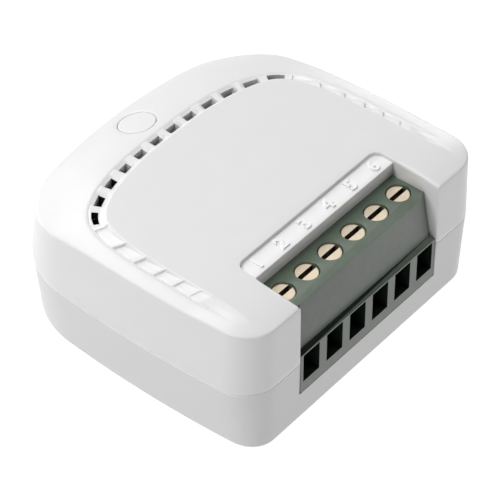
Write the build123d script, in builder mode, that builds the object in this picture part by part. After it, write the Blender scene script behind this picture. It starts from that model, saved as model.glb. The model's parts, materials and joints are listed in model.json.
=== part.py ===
from build123d import *
import math
import os

import numpy as np

# Smart relay module: a small white plastic case that closes around a circuit
# board with a six-way screw terminal block, two relays, a mains supply, a
# radio board and a push button.
#
# Millimetres. X runs along the terminal front, Y from the terminal front to
# the round back, Z up. The origin is the bottom centre of the bounding box.

# ---------------------------------------------------------------- dimensions
FRONT = -0.17            # front face of the case, in the terminal block's frame
REAR = 47.48             # rearmost point of the case, in the same frame
YC = (FRONT + REAR) / 2  # every y below is written from the block's front face

SEAM_Z = 11.2            # parting line between the two case halves
TOP_Z = 22.35            # flat top panel
FLOOR_T = 1.5            # bottom skin
WALL_T = 1.6             # side walls
ROOF_T = 1.35            # top skin below the sloping band
LIP_H = 1.2              # tongue of the lower half inside the upper half
LIP_OUT = 0.85           # tongue's outer face, in from the case's outside
LIP_IN = 1.6             # tongue's inner face

PITCH = 5.0              # terminal pitch
POLES = 6
BLOCK_W = 29.7           # terminal block
BLOCK_D = 10.0
BLOCK_Z0 = 5.25
BLOCK_Z1 = 19.55
NOTCH_HW = 15.0          # half width of the notch in the case for the block
NOTCH_D = 7.8            # how far back the notch is open at the top
SCREW_Y = 4.95
SCREW_HEAD_D = 3.3
SCREW_HOLE_D = 3.6
SCREW_SHANK_D = 2.5
SCREW_TOP = 19.3
CAGE_RISE = 3.0          # clamp travel, six turns of a 0.5 mm thread
ENTRY_W = 3.4            # wire openings
ENTRY_Z0 = 7.06
ENTRY_Z1 = 11.91

BOARD_Z0 = 3.65          # main circuit board
BOARD_Z1 = 5.25
PIN_Z = 2.4              # ends of the soldered pins

BUTTON_Y = 41.4
BUTTON_D = 5.4
BUTTON_HOLE_D = 5.6
BUTTON_TRAVEL = 0.25

RELAY_X = (-12.6, -1.9)  # relay centres
RELAY_Y = 20.5
RELAY_W = 10.2
RELAY_L = 18.4
RELAY_H = 15.1

SLOTS = [(1.75, 36.65, 1.0), (5.3, 36.5, 3.1), (8.85, 36.2, 5.2),
         (12.5, 35.6, 16.0), (16.1, 34.2, 30.0), (19.0, 31.9, 47.0)]
SLOT_L = 2.2
SLOT_W = 1.7
POCKETS_Y = (28.4, 24.5, 20.9, 17.4, 13.9)


def m(x, y):
    """A point of the terminal block's frame, in the model's frame."""
    return (x, y - YC)


def q(y, z):
    """A point of a sketch on the YZ plane, y in the terminal block's frame."""
    return (y - YC, z)


# ------------------------------------------------------------- outline curves
def chain(start, heading, arcs, n):
    """Points and outward normals along a chain of tangent arcs and lines."""
    pts, nrm = [], []
    x, y = start
    h = math.radians(heading)
    for radius, turn in arcs:
        steps = n(radius, turn)
        for i in range(steps):
            if turn == 0:
                t = radius * i / steps
                px, py, ph = x + t * math.cos(h), y + t * math.sin(h), h
            else:
                a = math.radians(turn) * i / steps
                s = math.copysign(1, turn)
                cx, cy = x - s * radius * math.sin(h), y + s * radius * math.cos(h)
                ph = h + a
                px, py = cx + s * radius * math.sin(ph), cy - s * radius * math.cos(ph)
            pts.append((px, py))
            nrm.append((math.sin(ph), -math.cos(ph)))
        if turn == 0:
            x, y = x + radius * math.cos(h), y + radius * math.sin(h)
        else:
            a = math.radians(turn)
            s = math.copysign(1, turn)
            cx, cy = x - s * radius * math.sin(h), y + s * radius * math.cos(h)
            h = h + a
            x, y = cx + s * radius * math.sin(h), cy - s * radius * math.cos(h)
    pts.append((x, y))
    nrm.append((math.sin(h), -math.cos(h)))
    return np.array(pts), np.array(nrm)


OUTLINE = [(5.37, 86.23), (193.6, 8.56), (13.82, 74.67), (76.6, 10.54)]


def few(radius, turn):
    return 2


HALF_P, HALF_N = chain((20.16, FRONT), 0, OUTLINE, few)
HALF_P[-1, 0] = 0.0
HALF_N[-1] = (0.0, 1.0)


def section(z, wall):
    """Half outline of the case at height z, moved in by the wall."""
    if z <= SEAM_Z:
        k = 1 - z / SEAM_Z
        side, front, rear = 1.45 * k, 0.35 * k, 0.35 * k
    else:
        k = (z - SEAM_Z) / 10.3
        side, front, rear = 0.50 * k, 0.10 * k, 1.70 * k
    out = []
    for (x, y), (nx, ny) in zip(HALF_P, HALF_N):
        inset = wall + side * nx * nx + (rear if ny > 0 else front) * ny * ny
        out.append((x - inset * nx, y - inset * ny))
    return out


def case_section(z, wall):
    """Sketch of the full case outline at height z."""
    right = [m(float(x), float(y)) for x, y in section(z, wall)]
    left = [(-x, y) for x, y in right]
    with BuildSketch(Plane.XY.offset(z)) as sk:
        with BuildLine():
            Line(left[0], right[0])
            for i in (0, 2, 4):
                ThreePointArc(right[i], right[i + 1], right[i + 2])
            ThreePointArc(right[6], right[8], left[6])
            for i in (4, 2, 0):
                ThreePointArc(left[i + 2], left[i + 1], left[i])
        make_face()
    return sk.sketch


# top panel edge, from the rear centre to the front
PANEL = [(98.0, -6.0), (12.0, -74.0), (45.0, -10.0), (17.5, 0)]


def dense(radius, turn):
    return 24 if turn else 30


PANEL_P, PANEL_N = chain((0.0, 35.3), 0, PANEL, dense)


def front_fall(y):
    return float(np.interp(y, [-3, 0, 1.8, 3.3, 4.7, 6.2, 7.8, 12.0, 60],
                           [1.20, 0.75, 0.47, 0.31, 0.21, 0.14, 0.08, 0.0, 0.0]))


def band_z(x, y):
    """Height of the sloping band around the panel."""
    x = abs(x)
    d = np.hypot(PANEL_P[:, 0] - x, PANEL_P[:, 1] - y)
    i = int(np.argmin(d))
    nx, ny = -PANEL_N[i]
    inside = (x - PANEL_P[i, 0]) * nx + (y - PANEL_P[i, 1]) * ny < 0
    rho = -d[i] if inside else d[i]
    fade = min(1.0, max(0.0, (y - 3.0) / 9.0))
    step = 0.06 + 0.40 * fade * fade * (3 - 2 * fade)
    if rho <= 0:
        fall = step * (1 - 0.3 * min(1.0, -rho / 6.0))
    else:
        phi = math.degrees(math.atan2(abs(nx), max(ny, 1e-9)))
        k = 1 - 0.2 * min(1.0, max(0.0, (phi - 30) / 25.0))
        fall = step + k * (0.125 * rho + 0.0125 * rho * rho)
    return TOP_Z - front_fall(y) - fall


def band_surface(drop):
    grid = []
    for x in np.linspace(-28, 28, 33):
        grid.append([Vector(x, y - YC, band_z(x, y) - drop)
                     for y in np.linspace(-2.5, 50.5, 31)])
    return Face.make_surface_from_array_of_points(grid, tol=0.01, max_deg=3)


def upper_space(drop):
    """Everything above the band surface lowered by drop."""
    with BuildPart() as sky:
        extrude(to_extrude=band_surface(drop), amount=14, dir=(0, 0, 1))
    return sky.part


os.makedirs("parts", exist_ok=True)
written = []


def finish(part, label):
    part.label = label
    export_step(part, f"parts/{label}.step")
    written.append(label)


def box_at(x0, x1, y0, y1, z0, z1, mode=Mode.ADD):
    """A box between two corners written in the terminal block's frame."""
    with Locations(((x0 + x1) / 2, (y0 + y1) / 2 - YC, (z0 + z1) / 2)):
        Box(x1 - x0, y1 - y0, z1 - z0, mode=mode)


def rod_at(x, y, z0, z1, r, mode=Mode.ADD):
    """A vertical round bar or hole in the terminal block's frame."""
    with Locations((x, y - YC, (z0 + z1) / 2)):
        Cylinder(r, z1 - z0, mode=mode)


# ------------------------------------------------------------------ lower case
BOSSES = [(-21.2, 11.8), (21.2, 11.8), (-12.6, 42.6), (12.6, 42.6)]
HOOKS_Y = (10.6, 25.4)

with BuildPart() as lower_case:
    for z, inset in ((0.0, 0.80), (0.24, 0.33), (0.80, 0.03), (SEAM_Z, 0.0)):
        add(case_section(z, inset))
    loft(ruled=True)
    with BuildPart(mode=Mode.PRIVATE) as lower_room:
        for z in (FLOOR_T, SEAM_Z + 0.01):
            add(case_section(z, WALL_T))
        loft(ruled=True)
        # cheeks beside the terminal block stay solid down to the floor
        box_at(-16.2, 16.2, -2, 9.0, 0, SEAM_Z + 1, mode=Mode.SUBTRACT)
        box_at(-NOTCH_HW, NOTCH_HW, FRONT + WALL_T + 0.1, 9.5, FLOOR_T, SEAM_Z)
    add(lower_room.part, mode=Mode.SUBTRACT)
    # tongue that stands inside the upper half
    add(case_section(SEAM_Z, LIP_OUT))
    extrude(amount=LIP_H)
    add(case_section(SEAM_Z, LIP_IN))
    extrude(amount=LIP_H + 0.1, mode=Mode.SUBTRACT)
    # catches on the tongue
    for y in HOOKS_Y:
        for s in (-1, 1):
            box_at(min(s * 24.4, s * 25.25), max(s * 24.4, s * 25.25),
                   y - 1.8, y + 1.8, SEAM_Z + 0.45, SEAM_Z + 0.95)
    # notch for the terminal block
    box_at(-NOTCH_HW, NOTCH_HW, -3, BLOCK_D + 0.15, BLOCK_Z0 - 0.15, SEAM_Z + 4,
           mode=Mode.SUBTRACT)
    box_at(-16.6, 16.6, -3, 9.6, SEAM_Z, SEAM_Z + 4, mode=Mode.SUBTRACT)
    # board supports, two of them with a locating pin
    for bx, by in BOSSES:
        rod_at(bx, by, FLOOR_T - 0.3, BOARD_Z0, 1.6)
    for bx, by in BOSSES[1:3]:
        rod_at(bx, by, BOARD_Z0 - 0.5, BOARD_Z1 - 0.4, 0.75)
finish(lower_case.part, "lower_case")

# ------------------------------------------------------------------ upper case
with BuildPart() as upper_case:
    for z in (SEAM_Z, 23.5):
        add(case_section(z, 0.0))
    loft(ruled=True)
    with BuildPart(mode=Mode.PRIVATE) as raised_panel:
        add(upper_case.part)
        with BuildSketch(Plane.XY.offset(18.0)):
            with BuildLine():
                right = [m(float(x), float(y)) for x, y in PANEL_P[0:73:12]]
                left = [(-x, y) for x, y in right]
                ThreePointArc(left[2], right[0], right[2])
                ThreePointArc(right[2], right[3], right[4])
                ThreePointArc(right[4], right[5], right[6])
                Polyline(right[6], m(right[6][0], -3.0), m(left[6][0], -3.0), left[6])
                ThreePointArc(left[6], left[5], left[4])
                ThreePointArc(left[4], left[3], left[2])
            make_face()
        extrude(amount=5.0, mode=Mode.INTERSECT)
        with BuildSketch(Plane.YZ.offset(-30)):
            with BuildLine():
                front = [(y - YC, TOP_Z - front_fall(y))
                         for y in (-3, 0, 1.8, 3.3, 4.7, 6.2, 7.8, 12.0, 50)]
                Polyline(*front)
                Polyline(front[-1], (50 - YC, 30), (-3 - YC, 30), front[0])
            make_face()
        extrude(amount=60, mode=Mode.SUBTRACT)
    add(upper_space(0.0), mode=Mode.SUBTRACT)
    add(raised_panel.part)
    with BuildPart(mode=Mode.PRIVATE) as upper_room:
        for z in (SEAM_Z - 0.01, 23.4):
            add(case_section(z, WALL_T))
        loft(ruled=True)
        add(upper_space(ROOF_T), mode=Mode.SUBTRACT)
        box_at(-16.2, 16.2, -3, 9.0, SEAM_Z - 1, 24, mode=Mode.SUBTRACT)
    add(upper_room.part, mode=Mode.SUBTRACT)
    # rebate for the lower half's tongue, with recesses for its catches
    with BuildPart(mode=Mode.PRIVATE) as rebate:
        add(case_section(SEAM_Z, LIP_OUT - 0.1))
        extrude(amount=LIP_H + 0.1)
        box_at(-16.2, 16.2, -3, 9.0, SEAM_Z - 1, 24, mode=Mode.SUBTRACT)
        for y in HOOKS_Y:
            for s in (-1, 1):
                box_at(min(s * 24.4, s * 25.35), max(s * 24.4, s * 25.35),
                       y - 2.0, y + 2.0, SEAM_Z + 0.35, SEAM_Z + 1.1)
    add(rebate.part, mode=Mode.SUBTRACT)
    # notch for the terminal block and the recessed marking strip behind it
    box_at(-NOTCH_HW, NOTCH_HW, -3, NOTCH_D, SEAM_Z - 1, 24, mode=Mode.SUBTRACT)
    box_at(-NOTCH_HW, NOTCH_HW, -3, BLOCK_D + 0.15, SEAM_Z - 1, BLOCK_Z1 + 0.1,
           mode=Mode.SUBTRACT)
    with BuildSketch(Plane.XY.offset(21.75)):
        with Locations(m(0, 9.2)):
            RectangleRounded(2 * NOTCH_HW, 3.6, 1.5)
        with Locations(m(0, 8.2)):
            Rectangle(2 * NOTCH_HW, 1.6)
    extrude(amount=2, mode=Mode.SUBTRACT)
    # open slots over the rear, blind pockets down the sides, button opening
    with BuildPart(mode=Mode.PRIVATE) as cuts:
        with BuildSketch(Plane.XY.offset(16.0)):
            for sx in (-1, 1):
                for x, y, turn in SLOTS:
                    with Locations(Location((sx * x, y - YC, 0), (0, 0, -sx * turn))):
                        Rectangle(SLOT_L, SLOT_W)
            with Locations(m(0, BUTTON_Y)):
                Circle(BUTTON_HOLE_D / 2)
        extrude(amount=8.0)
        for sx in (-1, 1):
            for y in POCKETS_Y:
                box_at(sx * 21.98 - 0.35, sx * 21.98 + 0.35, y - 1.1, y + 1.1, 21.25, 23)
    add(cuts.part, mode=Mode.SUBTRACT)
    # ribs that hold the board down
    with BuildPart(mode=Mode.PRIVATE) as ribs:
        for x0, x1, y0, y1, z1 in ((-22.0, -20.8, 11.0, 13.4, 21.0),
                                   (20.8, 22.0, 11.0, 13.4, 21.0),
                                   (-9.0, -6.6, 43.3, 44.3, 19.3),
                                   (6.6, 9.0, 43.3, 44.3, 19.3)):
            box_at(x0, x1, y0, y1, BOARD_Z1 + 0.1, z1)
    add(ribs.part)
finish(upper_case.part, "upper_case")

# ---------------------------------------------------------------------- button
with BuildPart() as button_cap:
    rod_at(0, BUTTON_Y, 18.0, 23.0, BUTTON_D / 2)
    add(upper_space(0.0), mode=Mode.SUBTRACT)
    with BuildSketch(Plane.XY.offset(17.5)):
        with Locations(m(0, BUTTON_Y)):
            Circle(3.6)
        with Locations(m(0, 46.0)):
            Rectangle(10, 4.0, mode=Mode.SUBTRACT)
    extrude(amount=0.9)
    rod_at(0, BUTTON_Y, 17.0, 19.0, 1.80, mode=Mode.SUBTRACT)
finish(button_cap.part, "button_cap")

# push switch under the button, soldered to the board
with BuildPart() as switch_base:
    box_at(-3, 3, BUTTON_Y - 3, BUTTON_Y + 3, BOARD_Z1, 8.35)
    rod_at(0, BUTTON_Y, 6.85, 9, 2.35, mode=Mode.SUBTRACT)
    for sx in (-1, 1):
        for sy in (-1, 1):
            box_at(sx * 3.25 - 0.35, sx * 3.25 + 0.35, BUTTON_Y + sy * 2.25 - 0.35,
                   BUTTON_Y + sy * 2.25 + 0.35, PIN_Z, 7.0)
finish(switch_base.part, "switch_base")

with BuildPart() as switch_cover:
    box_at(-3, 3, BUTTON_Y - 3, BUTTON_Y + 3, 8.35, 8.65)
    rod_at(0, BUTTON_Y, 8, 9, 1.85, mode=Mode.SUBTRACT)
finish(switch_cover.part, "switch_cover")

with BuildPart() as switch_dome:
    with BuildSketch(Plane.XY.offset(6.86)):
        with Locations(m(0, BUTTON_Y)):
            Circle(2.2)
    extrude(amount=0.45, taper=60)
finish(switch_dome.part, "switch_dome")

with BuildPart() as switch_plunger:
    rod_at(0, BUTTON_Y, 7.62, 8.32, 2.25)
    rod_at(0, BUTTON_Y, 8.0, 18.98, 1.75)
    rod_at(0, BUTTON_Y, 7.34, 7.7, 0.9)
    chamfer(switch_plunger.faces().sort_by(Axis.Z)[-1].edges(), length=0.3)
finish(switch_plunger.part, "switch_plunger")

# -------------------------------------------------------------- terminal block
POLE_X = [(i - (POLES - 1) / 2) * PITCH for i in range(POLES)]
CAGE_Z0, CAGE_Z1 = 6.35, 13.55
CAGE_Y0, CAGE_Y1 = 2.75, 7.65

with BuildPart() as terminal_housing:
    with BuildSketch(Plane.YZ.offset(-BLOCK_W / 2)):
        with BuildLine():
            Polyline(q(0, BLOCK_Z0), q(BLOCK_D, BLOCK_Z0), q(BLOCK_D, BLOCK_Z1),
                     q(1.65, BLOCK_Z1), q(0.85, 12.45), q(0.0, 12.15), close=True)
        make_face()
    extrude(amount=BLOCK_W)
    with BuildPart(mode=Mode.PRIVATE) as pole_space:
        for x in POLE_X:
            # clamp chamber, wire opening, pin slot and screw well
            box_at(x - 2.1, x + 2.1, 2.5, 7.8, BLOCK_Z0 - 1, 16.75)
            box_at(x - ENTRY_W / 2, x + ENTRY_W / 2, -1, 3, ENTRY_Z0, ENTRY_Z1)
            box_at(x - 1.05, x + 1.05, 7.0, 8.85, BLOCK_Z0 - 1, 11.65)
            rod_at(x, SCREW_Y, 16, 18.0, SCREW_SHANK_D / 2 + 0.05)
            rod_at(x, SCREW_Y, 17.6, 21, SCREW_HOLE_D / 2)
    add(pole_space.part, mode=Mode.SUBTRACT)
finish(terminal_housing.part, "terminal_housing")

for i, x in enumerate(POLE_X):
    with BuildPart() as screw:
        rod_at(x, SCREW_Y, 17.62, SCREW_TOP, SCREW_HEAD_D / 2)
        chamfer(screw.faces().sort_by(Axis.Z)[-1].edges(), length=0.2)
        box_at(x - 2, x + 2, SCREW_Y - 0.33, SCREW_Y + 0.33, SCREW_TOP - 0.8, SCREW_TOP + 1,
               mode=Mode.SUBTRACT)
        rod_at(x, SCREW_Y, 11.85, 17.7, SCREW_SHANK_D / 2)
    finish(screw.part, f"terminal_screw_{i + 1}")
    with BuildPart() as cage:
        box_at(x - 1.95, x + 1.95, CAGE_Y0, CAGE_Y1, CAGE_Z0, CAGE_Z1)
        box_at(x - 1.35, x + 1.35, CAGE_Y0 - 1, CAGE_Y1 + 1, CAGE_Z0 + 0.7, CAGE_Z1 - 1.8,
               mode=Mode.SUBTRACT)
        rod_at(x, SCREW_Y, CAGE_Z1 - 2, CAGE_Z1 + 1, SCREW_SHANK_D / 2 + 0.03,
               mode=Mode.SUBTRACT)
    finish(cage.part, f"clamp_cage_{i + 1}")

# bent contact strip of each pole, with its solder pin
with BuildPart() as terminal_contacts:
    for x in POLE_X:
        with BuildSketch(Plane.YZ.offset(x - 1.0)):
            with BuildLine():
                Polyline(q(2.5, 10.95), q(8.1, 10.95), q(8.1, BLOCK_Z0), q(8.8, BLOCK_Z0),
                         q(8.8, 11.6), q(2.5, 11.6), close=True)
            make_face()
        extrude(amount=2.0)
        box_at(x - 0.5, x + 0.5, 8.1, 8.8, PIN_Z, BLOCK_Z0)
finish(terminal_contacts.part, "terminal_contacts")

# ---------------------------------------------------------------------- relays
Z = BOARD_Z1
for n, rx in enumerate(RELAY_X, 1):
    ry = RELAY_Y
    name = f"relay_{n}_"
    with BuildPart() as part:
        box_at(rx - 5.1, rx + 5.1, ry - 9.2, ry + 9.2, Z + 0.3, Z + RELAY_H)
        box_at(rx - 4.6, rx + 4.6, ry - 8.7, ry + 8.7, Z, Z + RELAY_H - 0.5, mode=Mode.SUBTRACT)
    finish(part.part, name + "cover")
    with BuildPart() as part:
        box_at(rx - 4.6, rx + 4.6, ry - 8.7, ry + 8.7, Z + 0.3, Z + 2.0)
        for sx in (-1, 1):
            for sy in (-1, 1):
                box_at(rx + sx * 4.0 - 0.6, rx + sx * 4.0 + 0.6, ry + sy * 8.0 - 0.6,
                       ry + sy * 8.0 + 0.6, Z, Z + 0.4)
        box_at(rx - 1.8, rx + 1.8, ry + 7.7, ry + 8.1, Z - 1, Z + 3, mode=Mode.SUBTRACT)
        for px, py in ((-3.75, 1.0), (3.75, 1.0), (0, -7.9)):
            box_at(rx + px - 0.3, rx + px + 0.3, ry + py - 0.3, ry + py + 0.3, Z - 1, Z + 3,
                   mode=Mode.SUBTRACT)
    finish(part.part, name + "base")
    with BuildPart() as part:
        box_at(rx - 4.3, rx + 4.3, ry - 6.9, ry + 1.7, Z + 3.1, Z + 3.9)
        box_at(rx - 4.3, rx + 4.3, ry - 6.9, ry + 1.7, Z + 10.6, Z + 11.25)
        rod_at(rx, ry - 2.6, Z + 3.5, Z + 11, 2.1)
        rod_at(rx, ry - 2.6, Z + 2, Z + 12, 1.52, mode=Mode.SUBTRACT)
    finish(part.part, name + "bobbin")
    with BuildPart() as part:
        rod_at(rx, ry - 2.6, Z + 3.92, Z + 10.58, 3.9)
        rod_at(rx, ry - 2.6, Z + 3, Z + 12, 2.12, mode=Mode.SUBTRACT)
    finish(part.part, name + "winding")
    with BuildPart() as part:
        rod_at(rx, ry - 2.6, Z + 2.05, Z + 11.5, 1.5)
        rod_at(rx, ry - 2.6, Z + 11.3, Z + 11.8, 2.6)
    finish(part.part, name + "core")
    with BuildPart() as part:
        box_at(rx - 3.2, rx + 3.2, ry - 8.3, ry - 0.2, Z + 2.05, Z + 3.05)
        box_at(rx - 3.2, rx + 3.2, ry - 8.3, ry - 7.3, Z + 2.05, Z + 12.1)
        rod_at(rx, ry - 2.6, Z + 2, Z + 4, 1.5, mode=Mode.SUBTRACT)
    finish(part.part, name + "yoke")
    with BuildPart() as part:
        box_at(rx - 3.4, rx + 3.4, ry - 8.2, ry + 0.2, Z + 12.15, Z + 13.15)
    finish(part.part, name + "armature")
    with BuildPart() as part:
        box_at(rx - 1.8, rx + 1.8, ry - 6.5, ry + 7.6, Z + 13.15, Z + 13.35)
        rod_at(rx, ry + 6.2, Z + 12.65, Z + 13.2, 1.2)
        rod_at(rx, ry + 6.2, Z + 13.3, Z + 13.6, 0.9)
    finish(part.part, name + "contact_spring")
    with BuildPart() as part:
        box_at(rx - 1.75, rx + 1.75, ry + 4.6, ry + 8.1, Z + 11.2, Z + 11.6)
        box_at(rx - 1.75, rx + 1.75, ry + 7.7, ry + 8.1, Z, Z + 11.6)
        box_at(rx - 0.6, rx + 0.6, ry + 7.7, ry + 8.1, PIN_Z, Z + 0.5)
        rod_at(rx, ry + 6.2, Z + 11.5, Z + 12.1, 1.2)
    finish(part.part, name + "fixed_contact")
    with BuildPart() as part:
        for px, py, pz in ((-3.75, 1.0, 3.1), (3.75, 1.0, 3.1), (0, -7.9, 2.05)):
            box_at(rx + px - 0.3, rx + px + 0.3, ry + py - 0.3, ry + py + 0.3, PIN_Z, Z + pz)
    finish(part.part, name + "pins")

# --------------------------------------------------- parts on the main board
LEADS = []               # round leads: x, y, radius


def lead(x, y, z1, r=0.3):
    rod_at(x, y, PIN_Z, z1, r)
    LEADS.append((x, y, r))


with BuildPart() as varistor:
    with BuildSketch(Plane.XZ.offset(-(13.0 - YC))):
        with Locations((9.6, Z + 6.0)):
            Circle(4.6)
    extrude(amount=-3.2)
    fillet(varistor.edges().filter_by(GeomType.CIRCLE), radius=0.8)
    for x in (7.1, 12.1):
        lead(x, 14.6, Z + 3.6)
finish(varistor.part, "varistor")

with BuildPart() as fuse_resistor:
    with BuildSketch(Plane.XZ.offset(-(13.6 - YC))):
        with Locations((19.4, Z + 2.1)):
            Circle(1.6)
    extrude(amount=-8.8)
    fillet(fuse_resistor.edges().filter_by(GeomType.CIRCLE), radius=0.5)
    for y0, y1, ye in ((12.1, 13.8, 12.4), (22.2, 23.9, 23.6)):
        with BuildSketch(Plane.XZ.offset(-(y0 - YC))):
            with Locations((19.4, Z + 2.1)):
                Circle(0.3)
        extrude(amount=-(y1 - y0))
        lead(19.4, ye, Z + 2.1)
finish(fuse_resistor.part, "fuse_resistor")

with BuildPart() as bridge_rectifier:
    box_at(5.2, 13.2, 17.8, 21.8, Z + 0.4, Z + 3.6)
    chamfer(bridge_rectifier.faces().sort_by(Axis.Z)[-1].edges(), length=0.3)
    for x in (6.6, 11.8):
        for y in (17.5, 22.1):
            box_at(x - 0.4, x + 0.4, y - 0.45, y + 0.45, Z, Z + 1.6)
finish(bridge_rectifier.part, "bridge_rectifier")

for k, (x, y, r, h) in enumerate(((8.5, 27.0, 4.0, 11.5), (17.2, 28.4, 4.0, 11.5)), 1):
    with BuildPart() as part:
        rod_at(x, y, Z + 0.2, Z + h, r)
        fillet(part.faces().sort_by(Axis.Z)[-1].edges(), radius=0.5)
        for s in (-1, 1):
            lead(x + s * 1.75, y, Z + 0.4)
    finish(part.part, f"bulk_capacitor_{k}")

with BuildPart() as output_capacitor:
    rod_at(-9.4, 39.6, Z + 0.2, Z + 7.2, 3.15)
    fillet(output_capacitor.faces().sort_by(Axis.Z)[-1].edges(), radius=0.4)
    for s in (-1, 1):
        lead(-9.4 + s * 1.25, 39.6, Z + 0.4)
finish(output_capacitor.part, "output_capacitor")

with BuildPart() as choke_core:
    rod_at(14.2, 37.6, Z + 0.1, Z + 1.3, 3.7)
    rod_at(14.2, 37.6, Z + 1.0, Z + 7.4, 1.7)
    rod_at(14.2, 37.6, Z + 6.9, Z + 8.1, 3.7)
    for s in (-1, 1):
        lead(14.2 + s * 2.5, 37.6, Z + 0.4)
finish(choke_core.part, "choke_core")

with BuildPart() as choke_winding:
    rod_at(14.2, 37.6, Z + 1.32, Z + 6.88, 3.3)
    rod_at(14.2, 37.6, Z, Z + 8, 1.72, mode=Mode.SUBTRACT)
finish(choke_winding.part, "choke_winding")

with BuildPart() as converter_chip:
    box_at(-22.1, -18.3, 16.5, 21.4, Z + 0.15, Z + 1.65)
    for y in (17.05, 18.32, 19.58, 20.85):
        box_at(-22.9, -22.1, y - 0.2, y + 0.2, Z, Z + 0.5)
        box_at(-18.3, -17.9, y - 0.2, y + 0.2, Z, Z + 0.5)
finish(converter_chip.part, "converter_chip")

with BuildPart() as regulator_chip:
    box_at(-22.0, -18.5, 23.2, 29.7, Z + 0.1, Z + 1.7)
    for y in (24.15, 26.45, 28.75):
        box_at(-22.9, -22.0, y - 0.35, y + 0.35, Z, Z + 0.5)
finish(regulator_chip.part, "regulator_chip")

with BuildPart() as optocouplers:
    for y in (33.4, 38.7):
        box_at(-19.4, -14.9, y - 2.3, y + 2.3, Z + 0.3, Z + 3.8)
        for sx in (-19.7, -14.6):
            for dy in (-1.27, 1.27):
                box_at(sx - 0.3, sx + 0.3, y + dy - 0.25, y + dy + 0.25, PIN_Z, Z + 2.0)
finish(optocouplers.part, "optocouplers")

# radio board standing on its pin row, with a metal can over its chips
with BuildPart() as radio_board:
    box_at(-12.9, 6.9, 33.2, 34.2, Z + 1.3, Z + 13.6)
finish(radio_board.part, "radio_board")

with BuildPart() as radio_shield:
    box_at(-10.5, 2.5, 31.2, 33.2, Z + 2.4, Z + 12.4)
    box_at(-10.3, 2.3, 31.4, 33.3, Z + 2.6, Z + 12.2, mode=Mode.SUBTRACT)
finish(radio_shield.part, "radio_shield")

with BuildPart() as radio_header:
    box_at(-12.0, 4.0, 32.7, 34.7, Z, Z + 1.3)
    for k in range(8):
        x = -10.99 + 1.9 * k + 0.35
        box_at(x - 0.25, x + 0.25, 34.2, 34.7, PIN_Z, Z + 3.2)
finish(radio_header.part, "radio_header")

# ------------------------------------------------------------------ main board
with BuildPart() as main_board:
    add(case_section(BOARD_Z0, WALL_T + 0.45))
    extrude(amount=BOARD_Z1 - BOARD_Z0)
    with BuildPart(mode=Mode.PRIVATE) as board_cuts:
        for s in (-1, 1):
            box_at(min(s * 14.8, s * 27), max(s * 14.8, s * 27), -3, 9.3, 3, 6)
        for bx, by in BOSSES[1:3]:
            rod_at(bx, by, 3, 6, 0.85)
        # plated holes
        for x, y, r in LEADS:
            rod_at(x, y, 3, 6, r + 0.02)
        for x in POLE_X:
            box_at(x - 0.52, x + 0.52, 8.08, 8.82, 3, 6)
        for rx in RELAY_X:
            box_at(rx - 0.62, rx + 0.62, RELAY_Y + 7.68, RELAY_Y + 8.12, 3, 6)
            for px, py in ((-3.75, 1.0), (3.75, 1.0), (0, -7.9)):
                box_at(rx + px - 0.32, rx + px + 0.32, RELAY_Y + py - 0.32,
                       RELAY_Y + py + 0.32, 3, 6)
        for sx in (-1, 1):
            for sy in (-1, 1):
                box_at(sx * 3.25 - 0.37, sx * 3.25 + 0.37, BUTTON_Y + sy * 2.25 - 0.37,
                       BUTTON_Y + sy * 2.25 + 0.37, 3, 6)
        for y in (33.4, 38.7):
            for sx in (-19.7, -14.6):
                for dy in (-1.27, 1.27):
                    box_at(sx - 0.32, sx + 0.32, y + dy - 0.27, y + dy + 0.27, 3, 6)
        for k in range(8):
            x = -10.99 + 1.9 * k + 0.35
            box_at(x - 0.27, x + 0.27, 34.18, 34.72, 3, 6)
    add(board_cuts.part, mode=Mode.SUBTRACT)
finish(main_board.part, "main_board")

print(len(written), "pieces")
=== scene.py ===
import json
import math

import bmesh
import bpy
import numpy as np
from mathutils import Matrix, Vector
from mathutils.geometry import delaunay_2d_cdt


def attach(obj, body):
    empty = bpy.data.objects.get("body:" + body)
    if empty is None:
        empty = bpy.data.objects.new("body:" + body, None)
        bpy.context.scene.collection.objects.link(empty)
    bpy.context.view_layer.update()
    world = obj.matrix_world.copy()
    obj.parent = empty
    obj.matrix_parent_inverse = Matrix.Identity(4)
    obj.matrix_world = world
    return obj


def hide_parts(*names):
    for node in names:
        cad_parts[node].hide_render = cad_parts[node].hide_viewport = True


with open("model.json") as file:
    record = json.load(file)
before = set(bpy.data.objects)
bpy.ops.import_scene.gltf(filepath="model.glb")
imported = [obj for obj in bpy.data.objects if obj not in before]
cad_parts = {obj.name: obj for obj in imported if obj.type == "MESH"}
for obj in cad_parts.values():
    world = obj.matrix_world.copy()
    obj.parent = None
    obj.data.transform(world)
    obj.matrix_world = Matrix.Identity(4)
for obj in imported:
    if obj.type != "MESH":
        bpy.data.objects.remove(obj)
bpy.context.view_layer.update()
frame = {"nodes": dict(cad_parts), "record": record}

nodes = frame["nodes"]
scene = bpy.context.scene

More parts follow.
